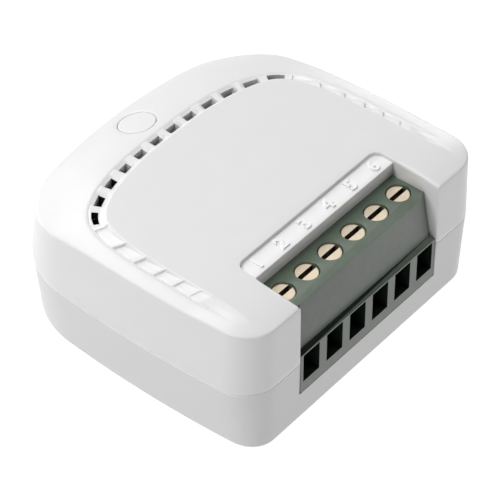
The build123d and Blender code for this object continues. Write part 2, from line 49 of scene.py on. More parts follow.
# --------------------------------------------------------------------------
# Shape data, in millimetres. y is written from the terminal block's front
# face and shifted by YC when the vertices are made.
FRONT, REAR = -0.17, 47.48
YC = (FRONT + REAR) / 2
SEAM_Z, TOP_Z, ROOF_T = 11.2, 22.35, 1.35
NOTCH_HW, NOTCH_D, STRIP_Z = 15.0, 7.8, 21.75
BUTTON_Y, BUTTON_R, BUTTON_HOLE_R = 41.4, 2.7, 2.8
EDGE_PTS = [(0, 34.45), (3, 34.45), (6, 34.35), (9.05, 33.95), (11.6, 33.5), (14.5, 32.8), (16.3, 32.1), (17.7, 31.3),
            (18.9, 30.15), (19.5, 29.2), (20.0, 28.0), (20.55, 25.6), (21.0, 22.2), (21.15, 19.4), (21.2, 15.7),
            (21.2, 12.5), (21.2, 9.3), (21.2, 5.5), (21.2, 1.0)]
LIP_PTS = [(0, 37.2), (4, 37.18), (7.8, 36.97), (11, 36.55), (15, 35.6), (17.2, 34.6), (18.6, 33.8), (19.8, 32.75),
           (20.6, 31.6), (21.15, 30.6), (21.6, 29.6), (22.0, 28.2), (22.25, 26.4), (22.45, 24.3), (22.65, 22.3),
           (22.8, 18.8), (22.85, 15.5), (22.9, 12.6), (22.9, 9.0), (22.9, 5.0), (22.9, 0.0)]
# ends of the cells between the ribs: at the ribs' tops, and of the open slots at the bottom
CELLS = [((0.40, 35.40), (2.98, 35.43)), ((3.80, 35.3), (6.49, 35.39)), ((7.14, 35.0), (9.93, 35.06)),
         ((10.67, 34.6), (13.63, 34.47)), ((14.11, 33.6), (17.21, 33.27)), ((17.75, 32.2), (20.27, 31.20))]
HOLES = [((0.80, 35.9), (2.70, 35.9)), ((4.28, 35.8), (6.18, 35.75)), ((7.86, 35.6), (9.90, 35.3)),
         ((11.42, 35.1), (13.57, 34.6)), ((15.0, 34.1), (17.1, 33.15)), ((18.2, 32.6), (19.85, 30.85))]
RHO_HOLES = [((1.70, 35.77), (1.81, 36.75)), ((5.13, 35.64), (5.32, 36.64)), ((8.63, 35.33), (8.92, 36.30)),
             ((12.21, 34.76), (12.57, 35.73)), ((15.70, 33.64), (16.24, 34.55)), ((18.9, 31.75), (19.42, 32.53))]
HOLE_Z, HOLE_Z_OUT = 21.05, 21.28
# rear ends of the side pockets, at the lip
POCKETS = [(20.95, 30.4), (22.24, 26.44), (22.58, 22.3), (22.81, 18.74), (22.91, 15.45), (22.88, 12.53)]
SLOTS = [(1.75, 36.65), (5.3, 36.5), (8.85, 36.2), (12.5, 35.6), (16.1, 34.2), (19.0, 31.9)]
OUTLINE = [(5.37, 86.23), (193.6, 8.56), (13.82, 74.67), (76.6, 10.54)]
PANEL = [(98.0, -6.0), (12.0, -74.0), (45.0, -10.0), (21.0, 0)]


def smooth(a, b, x):
    t = np.clip((np.asarray(x, float) - a) / (b - a), 0, 1)
    return t * t * (3 - 2 * t)


def chain(start, heading, arcs, n):
    """Points and outward normals along a chain of tangent arcs and lines."""
    pts, nrm = [], []
    x, y = start
    h = math.radians(heading)
    for radius, turn in arcs:
        steps = n(radius, turn)
        s = math.copysign(1, turn)
        cx, cy = x - s * radius * math.sin(h), y + s * radius * math.cos(h)
        for i in range(steps):
            if turn == 0:
                t = radius * i / steps
                px, py, ph = x + t * math.cos(h), y + t * math.sin(h), h
            else:
                ph = h + math.radians(turn) * i / steps
                px, py = cx + s * radius * math.sin(ph), cy - s * radius * math.cos(ph)
            pts.append((px, py))
            nrm.append((math.sin(ph), -math.cos(ph)))
        if turn == 0:
            x, y = x + radius * math.cos(h), y + radius * math.sin(h)
        else:
            h = h + math.radians(turn)
            x, y = cx + s * radius * math.sin(h), cy - s * radius * math.cos(h)
    pts.append((x, y))
    nrm.append((math.sin(h), -math.cos(h)))
    return np.array(pts), np.array(nrm)


def by_length(size):
    def steps(radius, turn):
        length = radius if turn == 0 else abs(math.radians(turn)) * radius
        least = 2 if turn == 0 else max(3, int(abs(turn) / 7.5))
        return max(least, int(round(length / size)))
    return steps


PP, PN = chain((0.0, 35.3), 0, PANEL, by_length(0.25))
PN = -PN
PS = np.concatenate([[0], np.cumsum(np.hypot(*np.diff(PP, axis=0).T))])


def spline(pts, size):
    """A smooth curve through points that starts level on the middle plane."""
    p = np.array([(-pts[1][0], pts[1][1])] + list(pts) + [(2 * pts[-1][0] - pts[-2][0], 2 * pts[-1][1] - pts[-2][1])], float)
    out = []
    for i in range(1, len(p) - 2):
        t = np.linspace(0, 1, 40, endpoint=False)[:, None]
        a, b, c, d = p[i - 1], p[i], p[i + 1], p[i + 2]
        out.append(0.5 * (2 * b + (c - a) * t + (2 * a - 5 * b + 4 * c - d) * t ** 2 + (3 * b - a - 3 * c + d) * t ** 3))
    q = np.concatenate(out + [p[-2:-1]])
    full = np.concatenate([q[::-1][:-1] * (-1, 1), q])
    length = np.concatenate([[0], np.cumsum(np.hypot(*np.diff(full, axis=0).T))])
    n = int(length[-1] / size / 2) * 2
    at = np.linspace(0, length[-1], n + 1)
    full = np.stack([np.interp(at, length, full[:, 0]), np.interp(at, length, full[:, 1])], 1)
    k = max(3, int(round(1.6 / size)) | 1)
    pad = np.concatenate([np.repeat(full[:1], k // 2, 0), full, np.repeat(full[-1:], k // 2, 0)])
    w = np.hanning(k + 2)[1:-1]
    w /= w.sum()
    full = np.stack([np.convolve(pad[:, i], w, "valid") for i in range(2)], 1)
    half = full[n // 2:]
    half[0, 0] = 0.0
    return half


QP = spline(EDGE_PTS, 0.25)
T_ = np.gradient(QP, axis=0)
T_ /= np.hypot(T_[:, 0], T_[:, 1])[:, None]
QN = np.stack([-T_[:, 1], T_[:, 0]], 1)
QN[0] = (0, 1)
QS = np.concatenate([[0], np.cumsum(np.hypot(*np.diff(QP, axis=0).T))])
LP = spline(LIP_PTS, 0.05)


def panel_coords(x, y, curve=None):
    """Signed distance outside a curve of the top, arc position, direction."""
    PP_, PN_, PS_ = curve or (PP, PN, PS)
    p = np.stack([np.abs(np.asarray(x, float)).ravel(), np.asarray(y, float).ravel()], 1)
    A, B = PP_[:-1], PP_[1:]
    d = B - A
    L2 = (d * d).sum(1)
    rho = np.empty(len(p))
    s = np.empty(len(p))
    nx = np.empty(len(p))
    ny = np.empty(len(p))
    for lo in range(0, len(p), 4000):
        q = p[lo:lo + 4000]
        t = np.clip(((q[:, None, :] - A) * d).sum(2) / L2, 0, 1)
        c = A + t[..., None] * d
        dist = np.hypot(*(q[:, None, :] - c).transpose(2, 0, 1))
        i = dist.argmin(1)
        k = np.arange(len(q))
        ti = t[k, i]
        n = PN_[i] * (1 - ti)[:, None] + PN_[i + 1] * ti[:, None]
        side = ((q - c[k, i]) * n).sum(1)
        rho[lo:lo + 4000] = np.where(side < 0, -dist[k, i], dist[k, i])
        s[lo:lo + 4000] = PS_[i] + ti * (PS_[i + 1] - PS_[i])
        nx[lo:lo + 4000], ny[lo:lo + 4000] = n[:, 0], n[:, 1]
    return rho, s, nx, ny


YT = np.linspace(-4, 60, 1281)
FT = np.interp(YT, [-3, 0, 1.8, 3.3, 4.7, 6.2, 7.8, 12, 60],
               [1.20, 0.75, 0.47, 0.31, 0.21, 0.14, 0.08, 0, 0])
KERNEL = np.exp(-np.linspace(-2.2, 2.2, 41) ** 2)
FT = np.convolve(np.pad(FT, 20, "edge"), KERNEL / KERNEL.sum(), "valid")


def front_fall(y):
    return np.interp(y, YT, FT)


def top_height(x, y, coords=None):
    """Height of the top skin, without its channel, slots and pockets."""
    shape = np.shape(x)
    rho, s, nx, ny = coords or panel_coords(x, y)
    yy = np.asarray(y, float).ravel()
    fade = smooth(3.0, 12.0, yy)
    step = 0.06 + 0.40 * fade
    out = np.maximum(rho, 0)
    phi = np.degrees(np.arctan2(np.abs(nx), np.maximum(ny, 1e-9)))
    k = 1 - 0.2 * smooth(30, 55, phi)
    fall = step + k * (0.125 * out + 0.0125 * out * out)
    edge = panel_coords(x, y, (QP, QN, QS))[0]
    z = TOP_Z - front_fall(yy) - smooth(0.0, 0.85, edge) * fall
    return z.reshape(shape) if shape else float(z[0])


# --------------------------------------------------------------------------
class Skin:
    """Collects vertices and faces, with vertices at one place made once."""

    def __init__(self):
        self.index, self.points, self.faces, self.mats = {}, [], [], []

    def v(self, x, y, z):
        key = (round(x, 3), round(y, 3), round(z, 3))
        if key not in self.index:
            self.index[key] = len(self.points)
            self.points.append((x, y, z))
        return self.index[key]

    def face(self, ids, mat=0):
        out = []
        for i in ids:
            if not out or out[-1] != i:
                out.append(i)
        if len(out) > 1 and out[0] == out[-1]:
            out.pop()
        if len(set(out)) >= 3 and len(set(out)) == len(out):
            self.faces.append(out)
            self.mats.append(mat)

    def strips(self, columns, close=False, mat=0, flip=False):
        """Quads between neighbouring columns of points."""
        ids = [[self.v(*p) for p in c] for c in columns]
        if close:
            ids.append(ids[0])
        for a, b in zip(ids, ids[1:]):
            for j in range(len(a) - 1):
                f = [a[j], a[j + 1], b[j + 1], b[j]]
                self.face(f[::-1] if flip else f, mat)

    def object(self, name, extra=None):
        """extra: (points, faces) already in the model's frame, metres."""
        pts = [(x / 1000, (y - YC) / 1000, z / 1000) for x, y, z in self.points]
        faces = [list(f) for f in self.faces]
        if extra is not None:
            base = len(pts)
            pts += [tuple(p) for p in extra[0]]
            faces += [[base + i for i in f] for f in extra[1]]
        me = bpy.data.meshes.new(name)
        me.from_pydata(pts, [], faces)
        me.update()
        for p, m in zip(me.polygons, self.mats):
            p.material_index = m
        own = len(self.faces)
        bm = bmesh.new()
        bm.from_mesh(me)
        bm.faces.ensure_lookup_table()
        outer = bm.faces[:own]
        bmesh.ops.recalc_face_normals(bm, faces=outer)
        seen = set()
        for f in outer:  # each connected part: its highest upward face must look up
            if f in seen:
                continue
            part, todo = [], [f]
            seen.add(f)
            while todo:
                g = todo.pop()
                part.append(g)
                for e in g.edges:
                    for n in e.link_faces:
                        if n not in seen and n.index < own:
                            seen.add(n)
                            todo.append(n)
            ref = max(part, key=lambda g: g.calc_center_median().z + abs(g.normal.z) * 1e-3)
            if ref.normal.z < 0:
                for g in part:
                    g.normal_flip()
        bm.to_mesh(me)
        bm.free()
        me.update()
        o = bpy.data.objects.new(name, me)
        scene.collection.objects.link(o)
        return o


def shade(o, angle=38, weighted=True):
    me = o.data
    me.polygons.foreach_set("use_smooth", [True] * len(me.polygons))
    me.set_sharp_from_angle(angle=math.radians(angle))
    if weighted:
        w = o.modifiers.new("weighted", "WEIGHTED_NORMAL")
        w.keep_sharp = True
        w.weight = 50
    me.update()


def inside(poly, x, y):
    """Whether points are inside a closed polygon."""
    px, py = np.asarray(poly, float).T
    qx, qy = np.roll(px, -1), np.roll(py, -1)
    hit = np.zeros(len(x), bool)
    for a, b, c, d in zip(px, py, qx, qy):
        cross = (b > y) != (d > y)
        if cross.any():
            xs = a + (y - b) * (c - a) / ((d - b) if d != b else 1e-12)
            hit ^= cross & (x < xs)
    return hit


def inset(z, nx, ny):
    """How far the case wall stands in from the seam outline at height z."""
    if z <= SEAM_Z:
        k = 1 - z / SEAM_Z
        side, front, rear = 1.45 * k, 0.35 * k, 0.35 * k
    else:
        k = (z - SEAM_Z) / 10.3
        side, front, rear = 0.50 * k, 0.10 * k, 1.70 * k
    return side * nx * nx + (rear if ny > 0 else front) * ny * ny


RIGHT_P, RIGHT_N = chain((20.16, FRONT), 0, OUTLINE, by_length(0.9))
RIGHT_P[-1, 0] = 0.0
RIGHT_N[-1] = (0, 1)
LEFT_P = RIGHT_P[::-1][1:] * (-1, 1)
LEFT_N = RIGHT_N[::-1][1:] * (-1, 1)
VEDGE = 0.22


def notch_steps(radius, turn):
    if turn == 0:
        return max(2, int(round(radius / 0.55)))
    return 5 if radius < 1 else 9


# ------------------------------------------------------------ upper case half
NOTCH_P, NOTCH_N = chain(
    (-20.16, FRONT), 0,
    [(5.16 - VEDGE, 0), (VEDGE, 90), (NOTCH_D - FRONT - VEDGE, 0), (9.5 - NOTCH_D, 0),
     (1.5, -90), (27.0, 0), (1.5, -90), (9.5 - NOTCH_D, 0), (NOTCH_D - FRONT - VEDGE, 0),
     (VEDGE, 90), (5.16 - VEDGE, 0)], notch_steps)
loop = []  # (x, y, nx, ny, kind)
for p, n in zip(np.concatenate([RIGHT_P, LEFT_P]), np.concatenate([RIGHT_N, LEFT_N])):
    loop.append((p[0], p[1], n[0], n[1], "wall"))
for p, n in list(zip(NOTCH_P, NOTCH_N))[1:-1]:
    if p[1] > NOTCH_D - 1e-6:
        kind = "strip" if p[1] > NOTCH_D + 1e-6 else "both"
    else:
        kind = "side" if abs(n[0]) > 1e-6 else "wall"
    loop.append((p[0], p[1], n[0], n[1], kind))


def fillet_radii(x, y, nx, ny, kind):
    """Inward and downward reach of the rounding along the top's edge."""
    if kind == "wall":
        near = smooth(14.0, 21.0, abs(x)) if y < 3 else 1.0
        return 0.30 + 0.06 * (1 - near), 0.28
    k = 1 - float(smooth(5.0, 9.3, y))
    return 0.16 + 0.66 * k, 0.14 + 0.50 * k


def corner(x, y, nx, ny, kind):
    """The wall's point where it meets the top skin, without rounding."""
    z = 21.0
    for _ in range(6):
        d = inset(z, 0 if kind in ("side", "both", "strip") else nx, ny) if kind != "strip" else 0.0
        if kind in ("side", "both"):
            d = inset(z, 0, ny) if ny < -1e-6 else 0.0
        cx, cy = x - d * nx, y - d * ny
        z = top_height(cx, cy)
    return cx, cy, z


skin = Skin()
columns, outer_top = [], []
for x, y, nx, ny, kind in loop:
    cx, cy, cz = corner(x, y, nx, ny, kind)
    rt, rw = fillet_radii(x, y, nx, ny, kind)
    tx, ty = cx - rt * nx, cy - rt * ny
    if kind in ("side", "both") or (abs(y - FRONT) < 0.05 and abs(x) < 17):
        rs = fillet_radii(x, y, 1, 0, "side")[0]
        sx = math.copysign(1, cx)
        tx = sx * max(abs(tx), NOTCH_HW + rs)
        ty = max(ty, FRONT + 0.34)
    tz = top_height(tx, ty)
    wz = cz - rw
    dz = inset(wz, nx, ny) - inset(cz, nx, ny) if kind == "wall" else 0.0
    wx, wy = cx - dz * nx, cy - dz * ny
    col = []
    for i in range(7):
        t = i / 6
        a, b, c = (1 - t) ** 2, 2 * t * (1 - t), t * t
        col.append((a * tx + b * cx + c * wx, a * ty + b * cy + c * wy, a * tz + b * cz + c * wz))
    columns.append(col)
    outer_top.append((tx, ty))
skin.strips(columns, close=True, flip=True)


def wall_point(x, y, nx, ny, kind, z, extra=0.0):
    if kind == "wall":
        d = inset(z, nx, ny)
    elif kind == "side":
        d = inset(z, 0, ny) if ny < -1e-6 else 0.0
    else:
        d = 0.0
    d += extra
    return (x - d * nx, y - d * ny, z)


def wall_column(item, top, levels):
    col = [top]
    for f in (0.12, 0.35, 0.58, 0.8):
        col.append(wall_point(*item, top[2] + (12.0 - top[2]) * f, 0.0))
    for z, extra in levels:
        col.append(wall_point(*item, z, extra))
    return col


seam_up = [(SEAM_Z + 0.05, 0.0), (SEAM_Z + 0.03, 0.006), (SEAM_Z + 0.012, 0.02), (SEAM_Z + 0.005, 0.05), (SEAM_Z, 0.22),
           (SEAM_Z, 0.76)]
down = [(12.0, 0)] + seam_up
run, runs = [], []
for item, col in list(zip(loop, columns)) + [(loop[0], columns[0])]:
    kind = item[4]
    if kind in ("wall", "side", "both"):
        k = "side" if kind == "both" else kind
        run.append(wall_column(item[:4] + (k,), col[-1], down))
    if kind in ("both",) and run and len(run) > 1:
        runs.append(run)
        run = []
        if kind == "both":
            continue
    elif kind == "strip":
        run = []
if run:
    runs.append(run)
# the run after the strip starts at its own "both" vertex
fixed = []
both_at = [i for i, it in enumerate(loop) if it[4] == "both"]
first = [wall_column(loop[i][:4] + ("side" if loop[i][4] == "both" else loop[i][4],),
                     columns[i][-1], down) for i in range(0, both_at[0] + 1)]
last = [wall_column(loop[i][:4] + ("side" if loop[i][4] == "both" else loop[i][4],),
                    columns[i][-1], down) for i in list(range(both_at[1], len(loop))) + [0]]
skin.strips(first, flip=True)
skin.strips(last, flip=True)
# marking strip: its wall down to the recessed floor
strip_cols = []
for i in range(both_at[0], both_at[1] + 1):
    x, y, nx, ny, kind = loop[i]
    strip_cols.append([columns[i][-1], (x, y, STRIP_Z + 0.06), (x + 0.02 * nx, y + 0.02 * ny, STRIP_Z + 0.02),
                       (x + 0.06 * nx, y + 0.06 * ny, STRIP_Z)])
skin.strips(strip_cols, flip=True)
# recessed floor, its front edge and the wall down behind the terminal block
rim = [c[-1][:2] for c in strip_cols]
LEDGE_R = 0.12
xs = np.linspace(-14.94, 14.94, 61)
front_edge = [(x, NOTCH_D + LEDGE_R) for x in xs]
floor_poly = rim + front_edge[::-1]


def triangulate(boundaries, holes, points, keep_poly, hole_polys):
    """Constrained triangles of a plan region. Returns 2-D points and triangles."""
    verts, edges = [], []
    for b in boundaries + holes:
        base = len(verts)
        verts += [Vector(p) for p in b]
        edges += [(base + i, base + (i + 1) % len(b)) for i in range(len(b))]
    verts += [Vector(p) for p in points]
    out, _, tris, *_ = delaunay_2d_cdt(verts, edges, [], 0, 1e-5)
    pts = np.array([tuple(p) for p in out])
    tris = [t for t in tris if len(t) == 3]
    mid = np.array([pts[list(t)].mean(0) for t in tris])
    ok = inside(keep_poly, mid[:, 0], mid[:, 1])
    for h in hole_polys:
        ok &= ~inside(h, mid[:, 0], mid[:, 1])
    area = np.array([np.cross(pts[t[1]] - pts[t[0]], pts[t[2]] - pts[t[0]]) for t in tris])
    ok &= np.abs(area) > 1e-7
    return pts, [t if a > 0 else (t[0], t[2], t[1]) for t, a, k in zip(tris, area, ok) if k]


pts, tris = triangulate([floor_poly], [], [(x, y) for x in np.arange(-14, 14.5, 1.0) for y in (8.9, 9.9)],
                        floor_poly, [])
ids = [skin.v(p[0], p[1], STRIP_Z) for p in pts]
for t in tris:
    skin.face([ids[i] for i in t], 3)
back = []
for x in xs:
    back.append([(x, NOTCH_D + LEDGE_R, STRIP_Z), (x, NOTCH_D + 0.035, STRIP_Z - 0.035),
                 (x, NOTCH_D, STRIP_Z - LEDGE_R), (x, NOTCH_D, 20.7), (x, NOTCH_D, 19.65), (x, 10.15, 19.65)])
skin.strips(back, flip=True)
for sx in (-1, 1):  # short returns between the strip's floor edge and the notch sides
    a, b = sx * 14.94, sx * 15.0
    quad = [[(a, NOTCH_D + LEDGE_R, STRIP_Z), (a, NOTCH_D + 0.035, STRIP_Z - 0.035), (a, NOTCH_D, STRIP_Z - LEDGE_R),
             (a, NOTCH_D, 20.7), (a, NOTCH_D, 19.65)],
            [(b, NOTCH_D + LEDGE_R, STRIP_Z), (b, NOTCH_D + 0.035, STRIP_Z - 0.035), (b, NOTCH_D, STRIP_Z - LEDGE_R),
             (b, NOTCH_D, 20.7), (b, NOTCH_D, 19.65)]]
    skin.strips(quad, flip=sx > 0)

# channel round the panel: a structured strip in arc position and distance
S_END = float(QS[np.argmin(np.abs(QP[:, 1] - 4.0))])


def panel_at(s):
    x = np.interp(s, QS, QP[:, 0])
    y = np.interp(s, QS, QP[:, 1])
    nx = np.interp(s, QS, QN[:, 0])
    ny = np.interp(s, QS, QN[:, 1])
    r = math.hypot(nx, ny)
    return x, y, nx / r, ny / r


def s_of(x, y):
    return float(panel_coords([x], [y], (QP, QN, QS))[1][0])


def lip_rho(s):
    x, y, nx, ny = panel_at(s)
    r = np.arange(0.3, 4.0, 0.01)
    q = np.stack([x + r * nx, y + r * ny], 1)
    d = np.hypot(q[:, None, 0] - LP[None, :, 0], q[:, None, 1] - LP[None, :, 1]).min(1)
    return float(r[d.argmin()])


holes = [(s_of(*p), s_of(*q)) for p, q in HOLES]
cells = [(s_of(*p), s_of(*q)) for p, q in CELLS]
hole_s = [(a + b) / 2 for a, b in holes]
pocket_s = [s_of(*q) for q in POCKETS]
POCKET_DEPTH = [0.46, 0.46, 0.42, 0.36, 0.27, 0.16]
POCKET_LEN = [3.4, 3.2, 3.0, 2.8, 2.5, 2.1]

cuts = set()
for (a, b), (ha, hb) in zip(cells, holes):
    for c in (a - 0.06, *np.linspace(a, ha, 6), *np.linspace(hb, b, 6), b + 0.06):
        cuts.add(round(float(c), 3))
    holes[cells.index((a, b))] = (round(ha, 3), round(hb, 3))
for p in pocket_s:
    for c in (-0.06, -0.02, 0.02, 0.05, 0.08, 0.12, 0.20, 0.32):
        cuts.add(round(p + c, 3))
s_half = sorted(c for c in cuts | {0.0, S_END} if 0 <= c <= S_END)
dense = [s_half[0]]
for s in s_half[1:]:
    n = int(math.ceil((s - dense[-1]) / 0.24))
    start = dense[-1]
    dense += [start + (s - start) * (i + 1) / n for i in range(n)]
S_COLS = np.array(dense)
LIPS = np.array([lip_rho(s) for s in S_COLS])
LIPS = np.convolve(np.pad(LIPS, 6, "edge"), np.ones(13) / 13, "valid")
edge_in = [float(panel_coords([p[0]], [p[1]], (QP, QN, QS))[0][0]) for p, q in RHO_HOLES]
edge_out = [float(panel_coords([q[0]], [q[1]], (QP, QN, QS))[0][0]) for p, q in RHO_HOLES]
RHO_IN = np.interp(S_COLS, hole_s + [hole_s[-1] + 4], edge_in + [0.80])
RHO_OUT = np.minimum(np.interp(S_COLS, hole_s + [hole_s[-1] + 4], edge_out + [1.15]), LIPS - 0.20)
# the pockets' end walls run at a slant, and so do the strip's columns there
SLANT = 0.62 * smooth(cells[-1][1] + 0.1, cells[-1][1] + 3.2, S_COLS)


def rows(lip, hi, ho):
    """Distances of the strip's rows; the slots lie between two of them."""
    return [-0.15] + [hi * i / 14 for i in range(14)] + [hi + (ho - hi) * i / 6 for i in range(7)] + \
        [ho + (lip - 0.10 - ho) * i / 3 for i in range(1, 3)] + [lip + c for c in (-0.10, -0.06, -0.02, 0.03, 0.08, 0.16, 0.28, 0.45)]


ROW_HI, ROW_HO = 15, 21


def channel_height(s, rho, lip, hi, ho, x, y, at_lip):
    band = top_height(np.array([x]), np.array([y]))[0]
    top = TOP_Z - front_fall(y)
    fade = float(smooth(4.8, 10.5, y))
    side = float(smooth(cells[-1][1] - 0.1, cells[-1][1] + 1.6, s))
    edge = at_lip - 0.13
    rim = lip - 0.02
    if rho < rim:
        # rear: a rib, with its rounded outer end; sides: a sloping floor with pockets
        rear = top - (top - at_lip + 0.01) * float(smooth(0, 0.95, rho)) - 0.15 * float(smooth(rim - 0.13, rim, rho))
        for (a, b), (ha, hb) in zip(cells, holes):
            if a - 1e-3 < s < b + 1e-3:
                w = min((s - a) / (ha - a), 1.0, (b - s) / (b - hb))
                w = float(smooth(0, 1, w)) * 0.4 + 0.6 * max(w, 0.0)
                if rho <= hi:
                    dish = top - (top - HOLE_Z) * (max(rho, 0) / hi) ** 1.5
                elif rho <= ho:
                    dish = HOLE_Z + (HOLE_Z_OUT - HOLE_Z) * (rho - hi) / (ho - hi)
                else:
                    dish = HOLE_Z_OUT + (edge - HOLE_Z_OUT) * (rho - ho) / (rim - ho)
                rear += (min(dish, rear) - rear) * w
        u = max(rho, 0.0) / rim
        slope = top - 0.10 * float(smooth(0, 0.14, u)) - (top - at_lip) * u ** 1.25
        for sp, depth, length in zip(pocket_s, POCKET_DEPTH, POCKET_LEN):
            t = s - sp
            if -0.1 < t < length:
                across = float(smooth(0.0, 0.2, u) * (1 - smooth(0.8, 1.0, u)))
                slope -= depth * across * float(smooth(-0.04, 0.14, t)) * max(1 - max(t, 0.0) / length, 0.0)
        slope += (edge - slope) * float(smooth(rim - 0.09, rim, rho))
        z = rear + (slope - rear) * side
    else:
        z = band - 0.13 * max(1 - (rho - rim) / 0.47, 0.0) ** 2
    return band + (z - band) * fade


half_cols = []
for s, lip, hi, ho, slant in zip(S_COLS, LIPS, RHO_IN, RHO_OUT, SLANT):
    col = []
    for rho in rows(lip, hi, ho):
        px, py, nx, ny = panel_at(s + slant * (lip - rho))
        x, y = px + rho * nx, py + rho * ny
        at_lip = float(top_height(px + (lip + 0.05) * nx, py + (lip + 0.05) * ny))
        col.append((max(x, 0.0) if s > 0 else 0.0, y, channel_height(s, rho, lip, hi, ho, x, y, at_lip)))
    half_cols.append(col)


def in_hole(s0, s1):
    m = (s0 + s1) / 2
    return any(a < m < b for a, b in holes)


def in_side_strip(s0, s1):
    return pocket_s[0] - 0.3 < (s0 + s1) / 2 < pocket_s[-1] + 0.85 * POCKET_LEN[-1]


# material indices of the upper shell: the well walls' painted shade, their near-black painted shadow, and the side
# channels' painted highlight
WELL, DARK, PAINTED_LIGHT = 1, 2, 4
for sx in (1, -1):
    cols = [[(sx * x, y, z) for x, y, z in c] for c in half_cols]
    ids = [[skin.v(*p) for p in c] for c in cols]
    for j in range(len(cols) - 1):
        hole = in_hole(S_COLS[j], S_COLS[j + 1])
        for r in range(len(cols[0]) - 1):
            if hole and ROW_HI <= r < ROW_HO:
                continue
            f = [ids[j][r], ids[j][r + 1], ids[j + 1][r + 1], ids[j + 1][r]]
            # faces in the side channels take a lighter copy of the case white: a painted highlight
            skin.face(f[::-1] if sx < 0 else f, PAINTED_LIGHT if 1 <= r <= ROW_HO + 2 and in_side_strip(S_COLS[j], S_COLS[j + 1]) else 0)
    # wells under the open slots. Their deep walls carry painted shade: the panel-side wall, and on the left side the
    # outer walls of the last three holes and every wall of the last hole, are near-black painted shadow, and the other
    # walls take a darker copy of the case white
    for a, b in holes:
        js = [j for j in range(len(S_COLS)) if a - 2e-3 <= S_COLS[j] <= b + 2e-3]
        j0, j1 = js[0], js[-1]
        ring = [(j, ROW_HI) for j in range(j0, j1 + 1)]
        ring += [(j1, r) for r in range(ROW_HI + 1, ROW_HO + 1)]
        ring += [(j, ROW_HO) for j in range(j1 - 1, j0 - 1, -1)]
        ring += [(j0, r) for r in range(ROW_HO - 1, ROW_HI, -1)]
        upper_part, lower_part = [], []
        for j, r in ring:
            x, y, z = cols[j][r]
            upper_part.append([(x, y, z), (x, y, z - 0.06)])
            lower_part.append([(x, y, z - 0.06), (x, y, z - 1.2), (x, y, z - 2.4)])
        skin.strips(upper_part, close=True, flip=sx < 0)
        n_in, n_row = j1 - j0, ROW_HO - ROW_HI
        closed = lower_part + lower_part[:1]
        k = holes.index((a, b))
        shaded = sx < 0 and k >= 3
        skin.strips(closed[:n_in + 1], mat=DARK, flip=sx < 0)
        skin.strips(closed[n_in:2 * n_in + n_row + 1], mat=DARK if sx < 0 and k == 5 else WELL, flip=sx < 0)
        skin.strips(closed[2 * n_in + n_row:], mat=DARK if shaded else WELL, flip=sx < 0)

shoe = [(-c[0][0], c[0][1]) for c in half_cols[::-1]] + [(c[0][0], c[0][1]) for c in half_cols[1:]]
end_r = [(p[0], p[1]) for p in half_cols[-1]][1:]
outer_row = [(c[-1][0], c[-1][1]) for c in half_cols[::-1]][1:] + [(-c[-1][0], c[-1][1]) for c in half_cols[1:]]
end_l = [(-p[0], p[1]) for p in half_cols[-1]][::-1][1:-1]
shoe_poly = shoe + end_r + outer_row + end_l

ring_n = 48
button_ring = [(BUTTON_HOLE_R + 0.10, a) for a in np.linspace(0, 2 * math.pi, ring_n, endpoint=False)]
button_poly = [(r * math.cos(a), BUTTON_Y + r * math.sin(a)) for r, a in button_ring]
grid = []
step = 0.85
row = 0
y = FRONT + 0.4
while y < REAR:
    x0 = -26 + (step / 2 if row % 2 else 0)
    for x in np.arange(x0, 26, step):
        grid.append((x, y))
    y += step * 0.866
    row += 1
grid = np.array(grid)
top_poly = outer_top
ok = inside(top_poly, grid[:, 0], grid[:, 1]) & ~inside(shoe_poly, grid[:, 0], grid[:, 1])
ok &= ~inside(button_poly, grid[:, 0], grid[:, 1])
edge_pts = np.array(list(top_poly) + shoe_poly + button_poly)
for lo in range(0, len(grid), 2000):
    d = np.hypot(grid[lo:lo + 2000, None, 0] - edge_pts[None, :, 0], grid[lo:lo + 2000, None, 1] - edge_pts[None, :, 1])
    ok[lo:lo + 2000] &= d.min(1) > 0.38
pts, tris = triangulate([top_poly, shoe_poly, button_poly], [], [tuple(p) for p in grid[ok]], top_poly,
                        [shoe_poly, button_poly])
zs = top_height(pts[:, 0], pts[:, 1])
ids = [skin.v(p[0], p[1], z) for p, z in zip(pts, zs)]
for t in tris:
    skin.face([ids[i] for i in t])
# rounded rim and wall of the button opening
cols = []
for r, a in button_ring:
    c, s = math.cos(a), math.sin(a)
    z0 = top_height((BUTTON_HOLE_R + 0.1) * c, BUTTON_Y + (BUTTON_HOLE_R + 0.1) * s)
    col = []
    for dr, dz in ((0.10, 0.0), (0.05, 0.012), (0.015, 0.045), (0.0, 0.10), (0.0, 0.5), (0.0, 1.35)):
        rr = BUTTON_HOLE_R + dr
        col.append((rr * c, BUTTON_Y + rr * s, z0 - dz))
    cols.append(col)
skin.strips(cols, close=True, flip=False)


def cad_faces(node, keep):
    """Faces of a CAD node that pass keep(centre in mm, normal), as a mesh."""
    me = nodes[node].data
    co = np.empty(len(me.vertices) * 3)
    me.vertices.foreach_get("co", co)
    co = co.reshape(-1, 3)
    polys = [list(p.vertices) for p in me.polygons]
    mid = np.array([co[p].mean(0) for p in polys]) * 1000
    nrm = np.array([tuple(p.normal) for p in me.polygons])
    mid[:, 1] += YC
    ok = keep(mid, nrm)
    used, faces, remap = [], [], {}
    for p, k in zip(polys, ok):
        if not k:
            continue
        f = []
        for i in p:
            if i not in remap:
                remap[i] = len(used)
                used.append(co[i])
            f.append(remap[i])
        faces.append(f)
    return used, faces


DENSE_P, DENSE_N = chain((20.16, FRONT), 0, OUTLINE, by_length(0.3))


